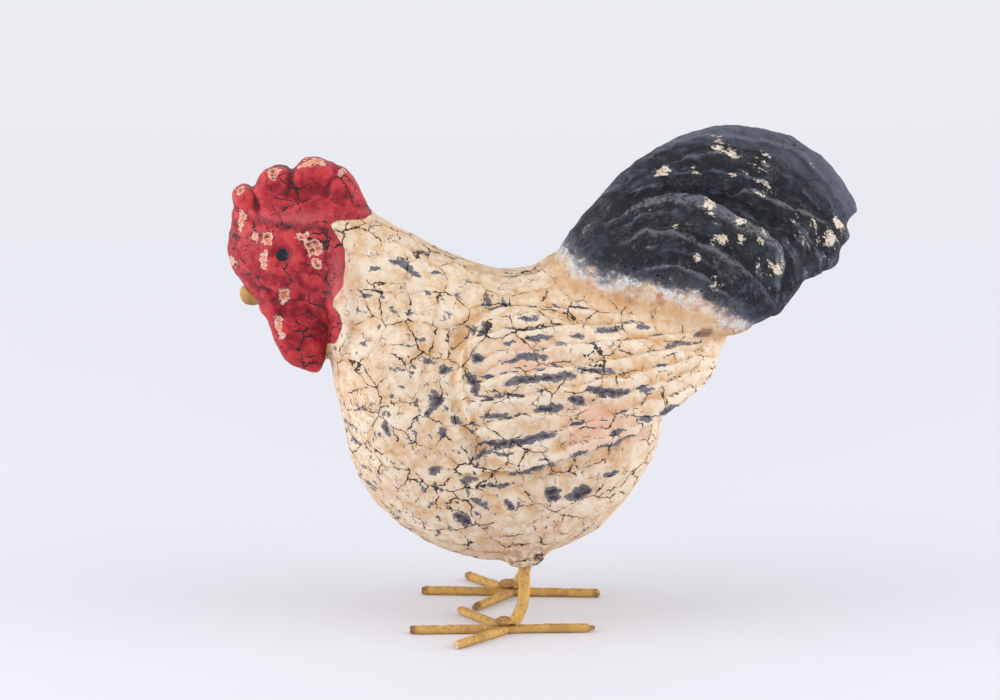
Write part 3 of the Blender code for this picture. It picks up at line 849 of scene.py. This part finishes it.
def rod_tree():
    """A rod of painted wire along a line: uneven, a little bent, cut off square and flat underneath."""
    inputs = {
        "Radius": (LENGTH, 2.3 * MM), "Bend": (LENGTH, 0.5 * MM), "Seed": (LENGTH, 0.0),
        "Step": (LENGTH, 0.7 * MM), "Taper": (LENGTH, 1.0 * MM), "Material": (MATERIAL, None),
    }  # fmt: skip
    bench, given = new_tree("Painted wire", inputs)
    line = bench.add("GeometryNodeMeshToCurve", inputs={"Mesh": given["Geometry"]})
    spaced = {"Curve": line, "Length": given["Step"]}
    line = bench.add("GeometryNodeResampleCurve", {"mode": "LENGTH"}, spaced)
    place = bench.add("GeometryNodeInputPosition")

    def noise(size, shift, output="Fac"):
        start = bench.add("ShaderNodeCombineXYZ", inputs={0: given["Seed"], 1: shift})
        inputs = {"Vector": place * (1 / size) + start, "Scale": 1.0, "Detail": 2.0}
        return bench.add("ShaderNodeTexNoise", inputs=inputs, output=output)

    drift = (noise(28 * MM, 2.0, "Color") - (0.5, 0.5, 0.5)) * given["Bend"]
    line = bench.add("GeometryNodeSetPosition", inputs={"Geometry": line, "Offset": drift * (1, 1, 0)})
    walked = bench.add("GeometryNodeSplineParameter", output="Length")
    left = bench.add("GeometryNodeSplineLength", output="Length") - walked
    tip = 0.4 + 0.6 * (left / given["Taper"]).least(1.0)
    nose = 0.75 + 0.25 * (walked / (2 * MM)).least(1.0)
    thickness = given["Radius"] * (0.8 + 0.4 * noise(7 * MM, 5.0)) * tip * nose
    ring = bench.add("GeometryNodeCurvePrimitiveCircle", inputs={"Resolution": 20, "Radius": 1.0})
    skin = bench.add(
        "GeometryNodeCurveToMesh",
        inputs={"Curve": line, "Profile Curve": ring, "Scale": thickness, "Fill Caps": True},
    )
    skin = bench.add("GeometryNodeMergeByDistance", inputs={"Geometry": skin, "Distance": 0.001 * MM})
    grit = bench.add("GeometryNodeInputNormal") * ((noise(2.6 * MM, 9.0) - 0.5) * (1.1 * MM))
    skin = bench.add("GeometryNodeSetPosition", inputs={"Geometry": skin, "Offset": grit})
    resting = bench.add("ShaderNodeVectorMath", {"operation": "MAXIMUM"}, {0: place, 1: (-9, -9, 0)})
    skin = bench.add("GeometryNodeSetPosition", inputs={"Geometry": skin, "Position": resting})
    skin = bench.add("GeometryNodeSetShadeSmooth", inputs={"Geometry": skin, "Shade Smooth": True})
    return close_tree(bench, skin, given["Material"])


# Marks on the side view ------------------------------------------------------------------------


def side_view(places):
    """Where each point, in millimetres, shows on the tipped side view of its own flank."""
    return np.column_stack([places[:, 0], places[:, 2] - SIDE_VIEW_TIP * np.abs(places[:, 1])])


def wander(view, amount, size, seed):
    """The side view with every point pushed about a little, so that marks drawn on it are uneven."""
    pushed = [noise.noise_vector((x / size, y / size, seed))[:2] for x, y in view]
    return view + amount * np.array(pushed)


def distance_to_path(places, path):
    """Distance to a path, share of it walked to the nearest point, and 1 left of it or -1 right."""
    nearest = np.full(len(places), np.inf)
    along = np.zeros(len(places))
    hand = np.ones(len(places))
    corners = [np.array(corner, float) for corner in path]
    runs = [np.linalg.norm(b - a) for a, b in zip(corners, corners[1:])]
    walked = 0.0
    for a, b, run in zip(corners, corners[1:], runs):
        share = np.clip((places - a) @ (b - a) / run**2, 0, 1)
        away = places - a - share[:, None] * (b - a)
        reach = np.hypot(*away.T)
        closer = reach < nearest
        nearest[closer] = reach[closer]
        along[closer] = (walked + share[closer] * run) / sum(runs)
        turn = (b - a)[0] * away[:, 1] - (b - a)[1] * away[:, 0]
        hand[closer] = np.where(turn[closer] < 0, -1, 1)
        walked += run
    return nearest, along, hand


def depth_inside(places, outline):
    """How far each place is inside a closed outline; less than 0 outside it."""
    x, y = places.T
    inside = np.zeros(len(places), bool)
    for (x0, y0), (x1, y1) in zip(outline, outline[1:] + outline[:1]):
        if y0 == y1:
            continue
        crossing = ((y0 > y) != (y1 > y)) & (x < (x1 - x0) * (y - y0) / (y1 - y0) + x0)
        inside ^= crossing
    away, _, _ = distance_to_path(places, outline + outline[:1])
    return np.where(inside, away, -away)


def brush(places, marks, taper=0.7):
    """How far each place is inside the nearest of the marks, which narrow towards their ends."""
    cover = np.full(len(places), FAR_OUTSIDE)
    for *path, half_width in marks:
        away, along, _ = distance_to_path(places, path)
        width = half_width * (1 - taper * np.abs(2 * along - 1) ** 3)
        np.maximum(cover, width - away, out=cover)
    return cover


def shifted_marks(marks, seed, most=7.0):
    """The same marks, each moved and turned a little by chance, for the flank away from the light."""
    chance = random.Random(seed)
    moved = []
    for *path, half_width in marks:
        turn = chance.uniform(-0.25, 0.25)
        dx, dy = chance.uniform(-most, most), chance.uniform(-most, most)
        cx, cy = np.mean(path, axis=0)
        cos, sin = math.cos(turn), math.sin(turn)
        moved.append(
            tuple(
                (cx + dx + (x - cx) * cos - (y - cy) * sin, cy + dy + (x - cx) * sin + (y - cy) * cos)
                for x, y in path
            )
            + (half_width,)
        )
    return moved


def scattered_strokes(count):
    """Small strokes at random over the neck and breast, more upright the further down they are."""
    dice = random.Random(11)
    strokes = []
    for _ in range(count):
        x, y = dice.uniform(-112, -28), dice.uniform(46, 186)
        lean = math.radians(dice.uniform(-60, 10) - 45 * (186 - y) / 140)
        length = dice.uniform(1.0, 6.0)
        end = (x + length * math.cos(lean), y + length * math.sin(lean))
        strokes.append(((x, y), end, dice.uniform(0.5, 1.1)))
    return strokes


def carve_valleys(places, valleys):
    """Depth of rounded valleys at each place."""
    depth = np.zeros(len(places))
    for *path, half_width, deepest in valleys:
        away, along, _ = distance_to_path(places, path)
        fade = np.sin(np.pi * np.clip(along, 0.04, 0.96)) ** 0.35
        np.maximum(depth, deepest * fade * np.exp(-((away / half_width) ** 2)), out=depth)
    return depth


def carve_steps(places, steps):
    """Rise of overlapping edges at each place: sharp at the path, eased out on both sides of it."""
    rise = np.zeros(len(places))
    for *path, reach, depth in steps:
        away, along, hand = distance_to_path(places, path)
        away = away * hand * np.sign(depth)
        fade = np.sin(np.pi * np.clip(along, 0.03, 0.97)) ** 0.4
        low = ease(away, -0.9, 0.9)
        foot = low * np.exp(-((np.maximum(away, 0) / reach) ** 2))
        brow = (1 - low) * np.exp(-((np.minimum(away, 0) / (0.8 * reach)) ** 2))
        rise += abs(depth) * fade * (0.55 * brow - foot)
    return rise


def ease(value, low, high):
    """0 below low, 1 above high, and a smooth rise between."""
    share = np.clip((value - low) / (high - low), 0, 1)
    return share * share * (3 - 2 * share)


# The carving ------------------------------------------------------------------------------------


def pull(items, field, numbers=1, kind=np.float32):
    """One field of all the items in a row, so many numbers to an item."""
    values = np.empty(len(items) * numbers, kind)
    items.foreach_get(field, values)
    return values


def places_of(mesh):
    return pull(mesh.vertices, "co", 3).reshape(-1, 3).astype(float)


def normals_of(mesh):
    return pull(mesh.vertex_normals, "vector", 3).reshape(-1, 3).astype(float)


def move_to(mesh, places):
    """Puts the mesh's points at these places, in metres."""
    mesh.vertices.foreach_set("co", places.astype(np.float32).ravel())
    mesh.update()


def store(mesh, name, values):
    attribute = mesh.attributes.get(name) or mesh.attributes.new(name, "FLOAT", "POINT")
    attribute.data.foreach_set("value", np.ascontiguousarray(values, np.float32))


def read(mesh, name):
    return pull(mesh.attributes[name].data, "value")


def outer_skin(mesh):
    """Drops the surface of the hollow inside, which touches the outer one nowhere."""
    bm = bmesh.new()
    bm.from_mesh(mesh)
    left = set(bm.verts)
    islands = []
    while left:
        start = left.pop()
        island, edge = {start}, [start]
        while edge:
            vertex = edge.pop()
            for link in vertex.link_edges:
                other = link.other_vert(vertex)
                if other in left:
                    left.discard(other)
                    island.add(other)
                    edge.append(other)
        islands.append(island)
    islands.sort(key=len)
    for island in islands[:-1]:
        bmesh.ops.delete(bm, geom=list(island), context="VERTS")
    bm.to_mesh(mesh)
    bm.free()


def blobs(view, spots):
    """How strongly each place belongs to soft round spots, each a middle and one or two reaches."""
    total = np.zeros(len(view))
    for (x, y), reach in spots:
        across, up = reach if isinstance(reach, tuple) else (reach, reach)
        near = np.exp(-(((view[:, 0] - x) / across) ** 2) - ((view[:, 1] - y) / up) ** 2)
        np.maximum(total, near, out=total)
    return total


def wing_strips(view, flank, sizes):
    """Rise of the wing's overlapping strips, and the distance to the nearest of their edges."""
    wing = ease(depth_inside(view, WING_EDGE), -2, 7) * ease(flank, 18, 26)
    bent = wander(wander(view, 3.2, 19.0, 3.0), 1.0, 6.0, 4.0)
    dx, dy = bent[:, 0] - FAN_POINT[0], bent[:, 1] - FAN_POINT[1]
    width = sizes.strip_width / MM
    phase = (np.arctan2(dy, -dx) * FAN_REACH / width) % 1.0
    slope = np.where(phase < STRIP_RISE, phase / STRIP_RISE, (1 - phase) / (1 - STRIP_RISE))
    edge = np.minimum(phase, 1 - phase) * width
    return (slope - 0.6) * sizes.strip_depth / MM * wing, np.where(wing > 0.4, edge, 9.0)


def sculpt(mesh):
    """Cuts grooves and feather strips into the carving, and stores what the paints need to know."""
    noise.seed_set(12)  # unseeded, the vector noise starts from the clock
    sizes = bpy.context.scene.rooster_carving
    metres = places_of(mesh)
    places = metres / MM
    outward = normals_of(mesh)
    flank = np.abs(places[:, 1])
    view = side_view(places)
    uneven = wander(wander(view, 1.6, 9.0, 1.0), 0.7, 3.0, 2.0)
    left = places[:, 1] < 0

    red = depth_inside(view, FACE_PAINT_EDGE)
    black = depth_inside(view, TAIL_PAINT_EDGE)
    strokes = [(*path, 1.25 * half_width + 0.2) for *path, half_width in STROKES]
    strokes += scattered_strokes(SMALL_STROKES)
    stroke = np.where(left, brush(uneven, strokes), brush(uneven, shifted_marks(strokes, 4)))
    chip = np.where(left, brush(uneven, FACE_CHIPS), brush(uneven, shifted_marks(FACE_CHIPS, 5, 4.0)))
    worn = blobs(uneven, TAIL_CHIPS) * ease(black, 2, 6)

    tail = ease(black, -1, 5)
    off_middle = ease(flank, 18, 26)
    in_wing = depth_inside(view, WING_EDGE)
    feathers = carve_steps(uneven, TAIL_STEPS) * tail
    valleys = carve_valleys(uneven, COMB_VALLEYS) * ease(red, 0, 4)
    lip = carve_steps(uneven, [(*WING_LIP, 9.0, -3.6)]) * off_middle
    strips, strip_edge = wing_strips(view, flank, sizes)
    sunk = STROKE_DEPTH * ease(stroke, -0.8, 0.6) * ease(-red, 0, 3)
    from_eye = np.linalg.norm(view - np.array(EYE), axis=1)
    brow = 0.7 * np.exp(-(((from_eye - 8.5) / 3) ** 2)) - 0.9 * np.exp(-((from_eye / 6) ** 2))
    brow = brow * ease(flank, 8, 14)
    flaked = CHIP_DEPTH * ease(chip, -0.5, 0.5)
    faded = WING_FRONT_DROP * ease(in_wing, -5, 6) * off_middle
    faded = faded * (1 - ease(view[:, 0], -46, -4))
    below_wing = 1 - ease(in_wing, -4, 3) * ease(flank, 14, 24)
    tuck = TUCK_DEPTH * blobs(view, [((75, 107), (15, 13))]) * below_wing

    moved = strips + lip + feathers + brow - valleys - sunk - flaked - tuck - faded
    move_to(mesh, metres + outward * (moved * MM)[:, None])

    collar = ease(-places[:, 2], -42, -34)
    knobby = np.clip(np.maximum(ease(red, -1, 4), 0.8 * tail) + collar, 0.1, 1)
    breast = ease(-view[:, 0], 62, 88) * ease(-view[:, 1], -150, -110) * ease(view[:, 1], 50, 66)
    from_heart = (uneven - TAIL_HEART).T
    marks = {
        "red": red, "black": black, "stroke": stroke, "chip": chip, "worn": worn, "knobby": knobby,
        "eye": np.where(flank > 8, EYE_RADIUS - from_eye, FAR_OUTSIDE), "strip_edge": strip_edge,
        "step": feathers, "arch": np.hypot(*from_heart), "turn": 60 * np.arctan2(*from_heart),
        "pink": blobs(view, PINK_PATCHES), "breast": breast,
    }  # fmt: skip
    for name, values in marks.items():
        store(mesh, name, values)


STORED = [
    "red", "black", "stroke", "chip", "worn", "eye", "strip_edge", "step", "arch", "turn", "pink",
    "breast", "hollow",
]  # fmt: skip


def neighbours_of(faces):
    """For each face, the faces across its four edges."""
    count = len(faces)
    corners = np.stack([faces, np.roll(faces, -1, axis=1)], axis=2).reshape(-1, 2)
    ends = np.sort(corners, axis=1)
    key = ends[:, 0].astype(np.int64) * (faces.max() + 1) + ends[:, 1]
    order = np.argsort(key, kind="stable")
    owner = order // 4
    same = key[order][1:] == key[order][:-1]
    beside = np.repeat(np.arange(count), 4)
    beside[order[:-1][same]] = owner[1:][same]
    beside[order[1:][same]] = owner[:-1][same]
    return beside.reshape(-1, 4)


def parts_of_faces(mesh, faces):
    """The number of the frame's part that each face lies nearest to, with ragged borders evened out."""
    corners, triangles, owners = [], [], []
    for number, name in enumerate(CARVED_PARTS):
        copy = merged_copy(name)
        start = len(corners)
        copy.verts.index_update()
        corners.extend(vertex.co.copy() for vertex in copy.verts)
        for face in copy.faces:
            triangles.append([start + vertex.index for vertex in face.verts])
            owners.append(number)
        copy.free()
    tree = BVHTree.FromPolygons(corners, triangles)
    places = places_of(mesh)
    centres = places[faces].mean(axis=1)
    part = np.array([owners[tree.find_nearest(Vector(c))[2]] for c in centres])

    beside = neighbours_of(faces)
    passes, own_vote = 8, 1.5
    for _ in range(passes):
        votes = np.zeros((len(faces), len(CARVED_PARTS)))
        votes[np.arange(len(faces)), part] = own_vote
        for side in range(4):
            np.add.at(votes, (np.arange(len(faces)), part[beside[:, side]]), 1.0)
        part = votes.argmax(axis=1)
    return one_patch_each(part, beside)


def one_patch_each(part, beside):
    """Gives all but the largest patch of each part to the part around it."""
    seen = np.full(len(part), -1)
    patches = []
    for start in range(len(part)):
        if seen[start] >= 0:
            continue
        seen[start] = len(patches)
        patch, edge = [start], [start]
        while edge:
            for other in beside[edge.pop()]:
                if seen[other] < 0 and part[other] == part[start]:
                    seen[other] = len(patches)
                    patch.append(other)
                    edge.append(other)
        patches.append(patch)
    largest = {}
    for number, patch in enumerate(patches):
        owner = part[patch[0]]
        if owner not in largest or len(patch) > len(patches[largest[owner]]):
            largest[owner] = number
    kept = set(largest.values())
    for number, patch in sorted(enumerate(patches), key=lambda item: len(item[1])):
        if number in kept:
            continue
        around = [part[o] for face in patch for o in beside[face] if seen[o] != number]
        if around:
            part[patch] = max(set(around), key=around.count)
    return part


class Carving:
    """The whole sculpted surface, ready to be cut into pieces."""

    made = None

    def __init__(self):
        sizes = bpy.context.scene.rooster_carving
        inside = 2.5 * MM
        plugs = {f"leg_{side}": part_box(f"leg_collar_{side}")[0].z + inside for side in SIDES}
        whole = even_copy("carving", CARVED_PARTS, sizes.swell, sizes.grain, plugs)
        outer_skin(whole.data)
        usual_grain = 1.05 * MM
        passes = round(sizes.rounding * (usual_grain / sizes.grain) ** 2)
        grow(whole, rounding_tree(), Passes=passes)
        sculpt(whole.data)
        grow(
            whole, lump_tree(), Lump_height=sizes.lump_height, Lump_size=sizes.lump_size,
            Knob_height=sizes.knob_height, Knob_size=sizes.knob_size,
            Grit_height=0.16 * MM, Grit_size=3.2 * MM,
        )  # fmt: skip
        corners = pull(whole.data.loops, "vertex_index", kind=np.int32)
        self.faces = corners.reshape(-1, 4)
        self.places = places_of(whole.data)
        self.normals = normals_of(whole.data)
        self.stored = {name: read(whole.data, name) for name in STORED}
        self.part = parts_of_faces(whole.data, self.faces)
        bpy.data.objects.remove(whole)

    @classmethod
    def get(cls):
        if cls.made is None:
            cls.made = cls()
        return cls.made


def rims_of(faces):
    """The rims of an open sheet of faces, each a closed list of corners in the order its faces run."""
    pairs = np.stack([faces, np.roll(faces, -1, axis=1)], axis=2).reshape(-1, 2)
    taken = {(a, b) for a, b in pairs.tolist()}
    onward = defaultdict(list)
    for a, b in sorted(taken):
        if (b, a) not in taken:
            onward[a].append(b)
    rims = []
    while onward:
        walk = [next(iter(onward))]
        while walk:
            ahead = onward.get(walk[-1])
            if not ahead:
                break
            corner = ahead.pop()
            if not ahead:
                del onward[walk[-1]]
            if corner in walk:
                start = walk.index(corner)
                rims.append(walk[start:])
                walk = walk[: start + 1]
                if corner not in onward:
                    break
            else:
                walk.append(corner)
    return rims


def cut_from_carving(name, parts, sink=4.0):
    """A closed piece of the carving: the faces that lie over these parts, capped behind."""
    carving = Carving.get()
    wanted = [number for number, part in enumerate(CARVED_PARTS) if part in parts]
    faces = carving.faces[np.isin(carving.part, wanted)]
    if not len(faces):
        raise RuntimeError(f"no face of the carving lies over {parts}")
    used, flat = np.unique(faces, return_inverse=True)
    faces = flat.reshape(-1, 4)
    places = carving.places[used]
    normals = carving.normals[used]
    corners = places.tolist()
    outward = normals.tolist()
    polygons = faces.tolist()
    for rim in rims_of(faces):
        middle = places[rim].mean(axis=0) - normals[rim].mean(axis=0) * sink * MM
        hub = len(corners)
        corners.append(middle.tolist())
        outward.append((-normals[rim].mean(axis=0)).tolist())
        polygons.extend([b, a, hub] for a, b in zip(rim, rim[1:] + rim[:1]))
    mesh = bpy.data.meshes.new(name)
    mesh.from_pydata(corners, [], polygons)
    mesh.polygons.foreach_set("use_smooth", np.ones(len(polygons), bool))
    spare = len(corners) - len(used)
    for attribute in STORED:
        values = carving.stored[attribute][used]
        store(mesh, attribute, np.concatenate([values, np.full(spare, values.mean())]))
    mesh.update()
    mesh.normals_split_custom_set_from_vertices(outward)
    return object_of(name, mesh)


def cut_pairs(paint, slots, sink=4.0):
    """Cuts the left and the right piece over each of these parts from the carving."""
    for side in SIDES:
        for part, slot in slots.items():
            piece = cut_from_carving(f"{part}_skin_{side}", [f"{part}_{side}"], sink)
            dress(piece, paint, slot, [f"{part}_{side}"])


def dress(piece, material, slot, replaced):
    """Paints a piece, hangs it on the root body and hides the frame's parts that it replaces."""
    piece.data.materials.clear()
    piece.data.materials.append(material)
    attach(piece, "root")
    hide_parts(*replaced)
    return piece


# Operators --------------------------------------------------------------------------------------


class ROOSTER_OT_body(bpy.types.Operator):
    """Cut the body, with its face and neck, from the carving"""

    bl_idname = "rooster.body"
    bl_label = "Body"

    def execute(self, context):
        shells = [f"body_shell_{side}" for side in SIDES]
        piece = cut_from_carving("body_skin", shells, 7.0)
        paint = finished_material("Body paint", body_paint)
        dress(piece, paint, "cream_paint", shells)
        return {"FINISHED"}


class ROOSTER_OT_wings(bpy.types.Operator):
    """Cut both wings from the carving"""

    bl_idname = "rooster.wings"
    bl_label = "Wings"

    def execute(self, context):
        cut_pairs(finished_material("Wing paint", wing_paint), {"wing": "cream_paint"})
        return {"FINISHED"}


class ROOSTER_OT_head_trim(bpy.types.Operator):
    """Cut the comb, the wattles and the ear lobes from the carving"""

    bl_idname = "rooster.head_trim"
    bl_label = "Comb, wattles and ear lobes"

    def execute(self, context):
        paint = finished_material("Face paint", head_paint)
        dress(cut_from_carving("comb_skin", ["comb"]), paint, "red_paint", ["comb"])
        cut_pairs(paint, {"wattle": "red_paint", "ear_lobe": "pink_red_paint"})
        return {"FINISHED"}


class ROOSTER_OT_tail(bpy.types.Operator):
    """Cut the tail plume, its coverts and the filler at its root from the carving"""

    bl_idname = "rooster.tail"
    bl_label = "Tail"

    def execute(self, context):
        paint = finished_material("Tail paint", tail_paint)
        plume = cut_from_carving("tail_plume_skin", ["tail_plume"])
        dress(plume, paint, "black_paint", ["tail_plume"])
        cut_pairs(paint, {"tail_covert": "black_paint", "tail_filler": "stained_filler"})
        return {"FINISHED"}


class ROOSTER_OT_collars(bpy.types.Operator):
    """Cut the collars that the legs come out of from the carving"""

    bl_idname = "rooster.collars"
    bl_label = "Leg collars"

    def execute(self, context):
        paint = finished_material("Collar paint", collar_paint)
        cut_pairs(paint, {"leg_collar": "cream_paint"}, sink=1.0)
        return {"FINISHED"}


def weathered_copy(name, part, lump, grain):
    """A finer copy of the frame's part, rounded and lumpy."""
    piece = even_copy(name, [part], 0.1 * MM, grain)
    grow(piece, rounding_tree(), Passes=4)
    store(piece.data, "knobby", np.ones(len(piece.data.vertices)))
    grow(
        piece, lump_tree(), Lump_height=0.2 * MM, Lump_size=9 * MM, Knob_height=lump,
        Knob_size=3.5 * MM, Grit_height=0.08 * MM, Grit_size=1.6 * MM,
    )  # fmt: skip
    mesh = piece.data
    places = places_of(mesh)
    places[:, 2] = np.maximum(places[:, 2], 0)
    mesh.polygons.foreach_set("use_smooth", np.ones(len(mesh.polygons), bool))
    move_to(mesh, places)
    store(mesh, "upward", normals_of(mesh)[:, 2])
    return piece


class ROOSTER_OT_beak(bpy.types.Operator):
    """Shape the beak"""

    bl_idname = "rooster.beak"
    bl_label = "Beak"

    def execute(self, context):
        paint = finished_material("Beak paint", beak_paint)
        piece = weathered_copy("beak_horn", "beak", 0.2 * MM, 0.5 * MM)
        dress(piece, paint, "ochre_beak", ["beak"])
        return {"FINISHED"}


class ROOSTER_OT_legs(bpy.types.Operator):
    """Shape the wire legs and the lumpy welds under them"""

    bl_idname = "rooster.legs"
    bl_label = "Legs and welds"

    def execute(self, context):
        wire = finished_material("Wire paint", wire_paint)
        weld = finished_material("Weld paint", weld_paint)
        for side in SIDES:
            leg = weathered_copy(f"leg_wire_{side}", f"leg_{side}", 0.15 * MM, 0.5 * MM)
            reach_down(leg.data, 1.3 * MM)
            dress(leg, wire, "ochre_rod", [f"leg_{side}"])
            bead = weathered_copy(f"weld_bead_{side}", f"foot_weld_{side}", 1.3 * MM, 0.4 * MM)
            dress(bead, weld, "weld", [f"foot_weld_{side}"])
        return {"FINISHED"}


def reach_down(mesh, drop):
    """Lowers the foot of a leg onto its rod."""
    places = places_of(mesh)
    places[:, 2] -= drop * ease(-places[:, 2], -13 * MM, -8 * MM)
    move_to(mesh, places)


def rod_ends(part):
    """The two ends of a straight rod of the frame, on its middle line, in metres."""
    copy = merged_copy(part)
    places = np.array([vertex.co for vertex in copy.verts])
    copy.free()
    middle = (places.min(axis=0) + places.max(axis=0)) / 2
    _, _, axes = np.linalg.svd(places - places.mean(axis=0))
    reach = (places - middle) @ axes[0]
    ends = [middle + axes[0] * reach.min(), middle + axes[0] * reach.max()]
    for end in ends:
        end[2] = middle[2]
    return sorted(ends, key=lambda end: end[0])


class ROOSTER_OT_toes(bpy.types.Operator):
    """Draw the six toes as rods of painted wire"""

    bl_idname = "rooster.toes"
    bl_label = "Toes"

    def execute(self, context):
        wire = finished_material("Wire paint", wire_paint)
        tree = rod_tree()
        for number, (part, side) in enumerate(
            (part, side) for part in ("long_toe", "outer_toe", "inner_toe") for side in SIDES
        ):
            ends = rod_ends(f"{part}_{side}")
            mesh = bpy.data.meshes.new(f"{part}_rod_{side}")
            mesh.from_pydata([tuple(end) for end in ends], [(0, 1)], [])
            piece = object_of(f"{part}_rod_{side}", mesh)
            taper = 5.5 * MM if (part, side) == ("long_toe", "left") else 1.2 * MM
            grow(piece, tree, Seed=7.0 * number, Taper=taper, Material=wire)
            bare = (part, side) == ("outer_toe", "left")
            mark_ends(piece.data, ends, bare)
            dress(piece, wire, "ochre_rod", [f"{part}_{side}"])
        return {"FINISHED"}


def mark_ends(mesh, ends, bare):
    """Stores where the rod's front end is bare, and where both its ends are rough and dirty."""
    places = places_of(mesh)
    length = np.linalg.norm(ends[1] - ends[0])
    walked = (places - ends[0]) @ (ends[1] - ends[0]) / length
    front = ease(-walked, -0.7 * MM, -0.2 * MM)
    store(mesh, "cut_end", front * bare)
    nearest = np.minimum(walked, length - walked)
    store(mesh, "rough_end", ease(-nearest, -5 * MM, -1 * MM) * (1 - bare))
    store(mesh, "upward", normals_of(mesh)[:, 2])


class ROOSTER_OT_inner_wood(bpy.types.Operator):
    """Give the block and the peg inside the body their bare wood"""

    bl_idname = "rooster.inner_wood"
    bl_label = "Block and peg"

    def execute(self, context):
        wood = finished_material("Bare wood", raw_wood)
        for name in ("leg_block", "tail_peg"):
            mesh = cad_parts[name].data
            mesh.materials.clear()
            mesh.materials.append(wood)
        return {"FINISHED"}


class ROOSTER_OT_stage(bpy.types.Operator):
    """Set up the pale floor, the soft lights and the camera"""

    bl_idname = "rooster.stage"
    bl_label = "Stage"

    def execute(self, context):
        sizes = context.scene.rooster_stage
        context.scene.view_settings.view_transform = "Standard"
        backdrop(sizes)
        soft_light("left_light", (-1.5, -0.35, 0.6), size=1.3, watts=16)
        soft_light("right_light", (1.5, -0.35, 0.5), size=1.3, watts=17)
        soft_light("top_light", (-0.1, -0.3, 1.9), size=1.6, watts=4)
        soft_light("wall_light", (0, 2.2, 2.6), size=2.0, watts=9, target=(0, 4.5, 2.0))
        world = bpy.data.worlds.new("Soft room")
        context.scene.world = world
        world.use_nodes = True
        glow = world.node_tree.nodes["Background"].inputs
        glow["Color"].default_value = (0.93, 0.95, 1, 1)
        glow["Strength"].default_value = 0.765
        camera = bpy.data.objects.new("camera", bpy.data.cameras.new("camera"))
        context.scene.collection.objects.link(camera)
        camera.data.lens = sizes.lens
        camera.data.clip_end = 50
        back = Vector((0, -math.cos(sizes.elevation), math.sin(sizes.elevation)))
        camera.location = Vector(sizes.aim) + back * sizes.distance
        camera.rotation_euler = (math.pi / 2 - sizes.elevation, 0, 0)
        context.scene.camera = camera
        return {"FINISHED"}


def backdrop(sizes):
    """A floor that curves up into a wall, far behind the rooster, painted paler further back as painted
    light.
    """

    def pale(bench):
        mm = bench.millimetres()
        tint = bench.noise(400.0, 2.0, 0.5, 97.0)
        # Painted light: further back the floor and the wall are painted near white, so that they look
        # as brightly lit as the floor under the rooster.
        behind = bench.add("ShaderNodeSeparateXYZ", inputs={0: mm}, output="Y").over(1100, 1800)
        near = (*sizes.backdrop, 1.0)
        return bench.mix(behind, near, (0.99, 0.99, 0.99, 1.0)), 0.75 + tint * 0.05, tint

    reach, start, bend, top, steps = 9.0, 3.4, 1.2, 5.0, 12
    profile = [(-reach, 0.0), (start, 0.0)]
    for step in range(1, steps + 1):
        angle = math.radians(90 * step / steps)
        profile.append((start + bend * math.sin(angle), bend - bend * math.cos(angle)))
    profile.append((start + bend, top))
    corners = [(x, y, z) for x in (-reach, reach) for y, z in profile]
    count = len(profile)
    faces = [(i, count + i, count + i + 1, i + 1) for i in range(count - 1)]
    mesh = bpy.data.meshes.new("floor")
    mesh.from_pydata(corners, [], faces)
    mesh.polygons.foreach_set("use_smooth", np.ones(len(faces), bool))
    mesh.materials.append(finished_material("Pale floor", pale))
    return object_of("floor", mesh)


def soft_light(name, place, size, watts, target=(0, 0, 0.12)):
    """A square soft box that faces the rooster, or another target."""
    light = bpy.data.objects.new(name, bpy.data.lights.new(name, "AREA"))
    bpy.context.scene.collection.objects.link(light)
    light.data.size = size
    light.data.energy = watts
    light.location = place
    towards = Vector(target) - Vector(place)
    light.rotation_euler = towards.to_track_quat("-Z", "Y").to_euler()
    return light


PIECE_OPERATORS = (
    ROOSTER_OT_stage,
    ROOSTER_OT_body,
    ROOSTER_OT_wings,
    ROOSTER_OT_head_trim,
    ROOSTER_OT_tail,
    ROOSTER_OT_collars,
    ROOSTER_OT_beak,
    ROOSTER_OT_legs,
    ROOSTER_OT_toes,
    ROOSTER_OT_inner_wood,
)


class ROOSTER_PT_panel(bpy.types.Panel):
    """Lists the steps that build the rooster"""

    bl_idname = "ROOSTER_PT_panel"
    bl_label = "Rooster"
    bl_space_type = "VIEW_3D"
    bl_region_type = "UI"
    bl_category = "Rooster"

    def draw(self, context):
        for operator in PIECE_OPERATORS:
            self.layout.operator(operator.bl_idname)


GROUPS = {
    "rooster_carving": CarvingSizes,
    "rooster_paint": PaintColours,
    "rooster_stage": StageSizes,
}


def register():
    for group in GROUPS.values():
        bpy.utils.register_class(group)
    for name, group in GROUPS.items():
        setattr(bpy.types.Scene, name, bpy.props.PointerProperty(type=group))
    for operator in PIECE_OPERATORS:
        bpy.utils.register_class(operator)
    bpy.utils.register_class(ROOSTER_PT_panel)


def unregister():
    bpy.utils.unregister_class(ROOSTER_PT_panel)
    for operator in reversed(PIECE_OPERATORS):
        bpy.utils.unregister_class(operator)
    for name in GROUPS:
        delattr(bpy.types.Scene, name)
    for group in reversed(list(GROUPS.values())):
        bpy.utils.unregister_class(group)


def main():
    register()
    for operator in PIECE_OPERATORS:
        family, step = operator.bl_idname.split(".")
        getattr(getattr(bpy.ops, family), step)()


if __name__ == "__main__":
    main()
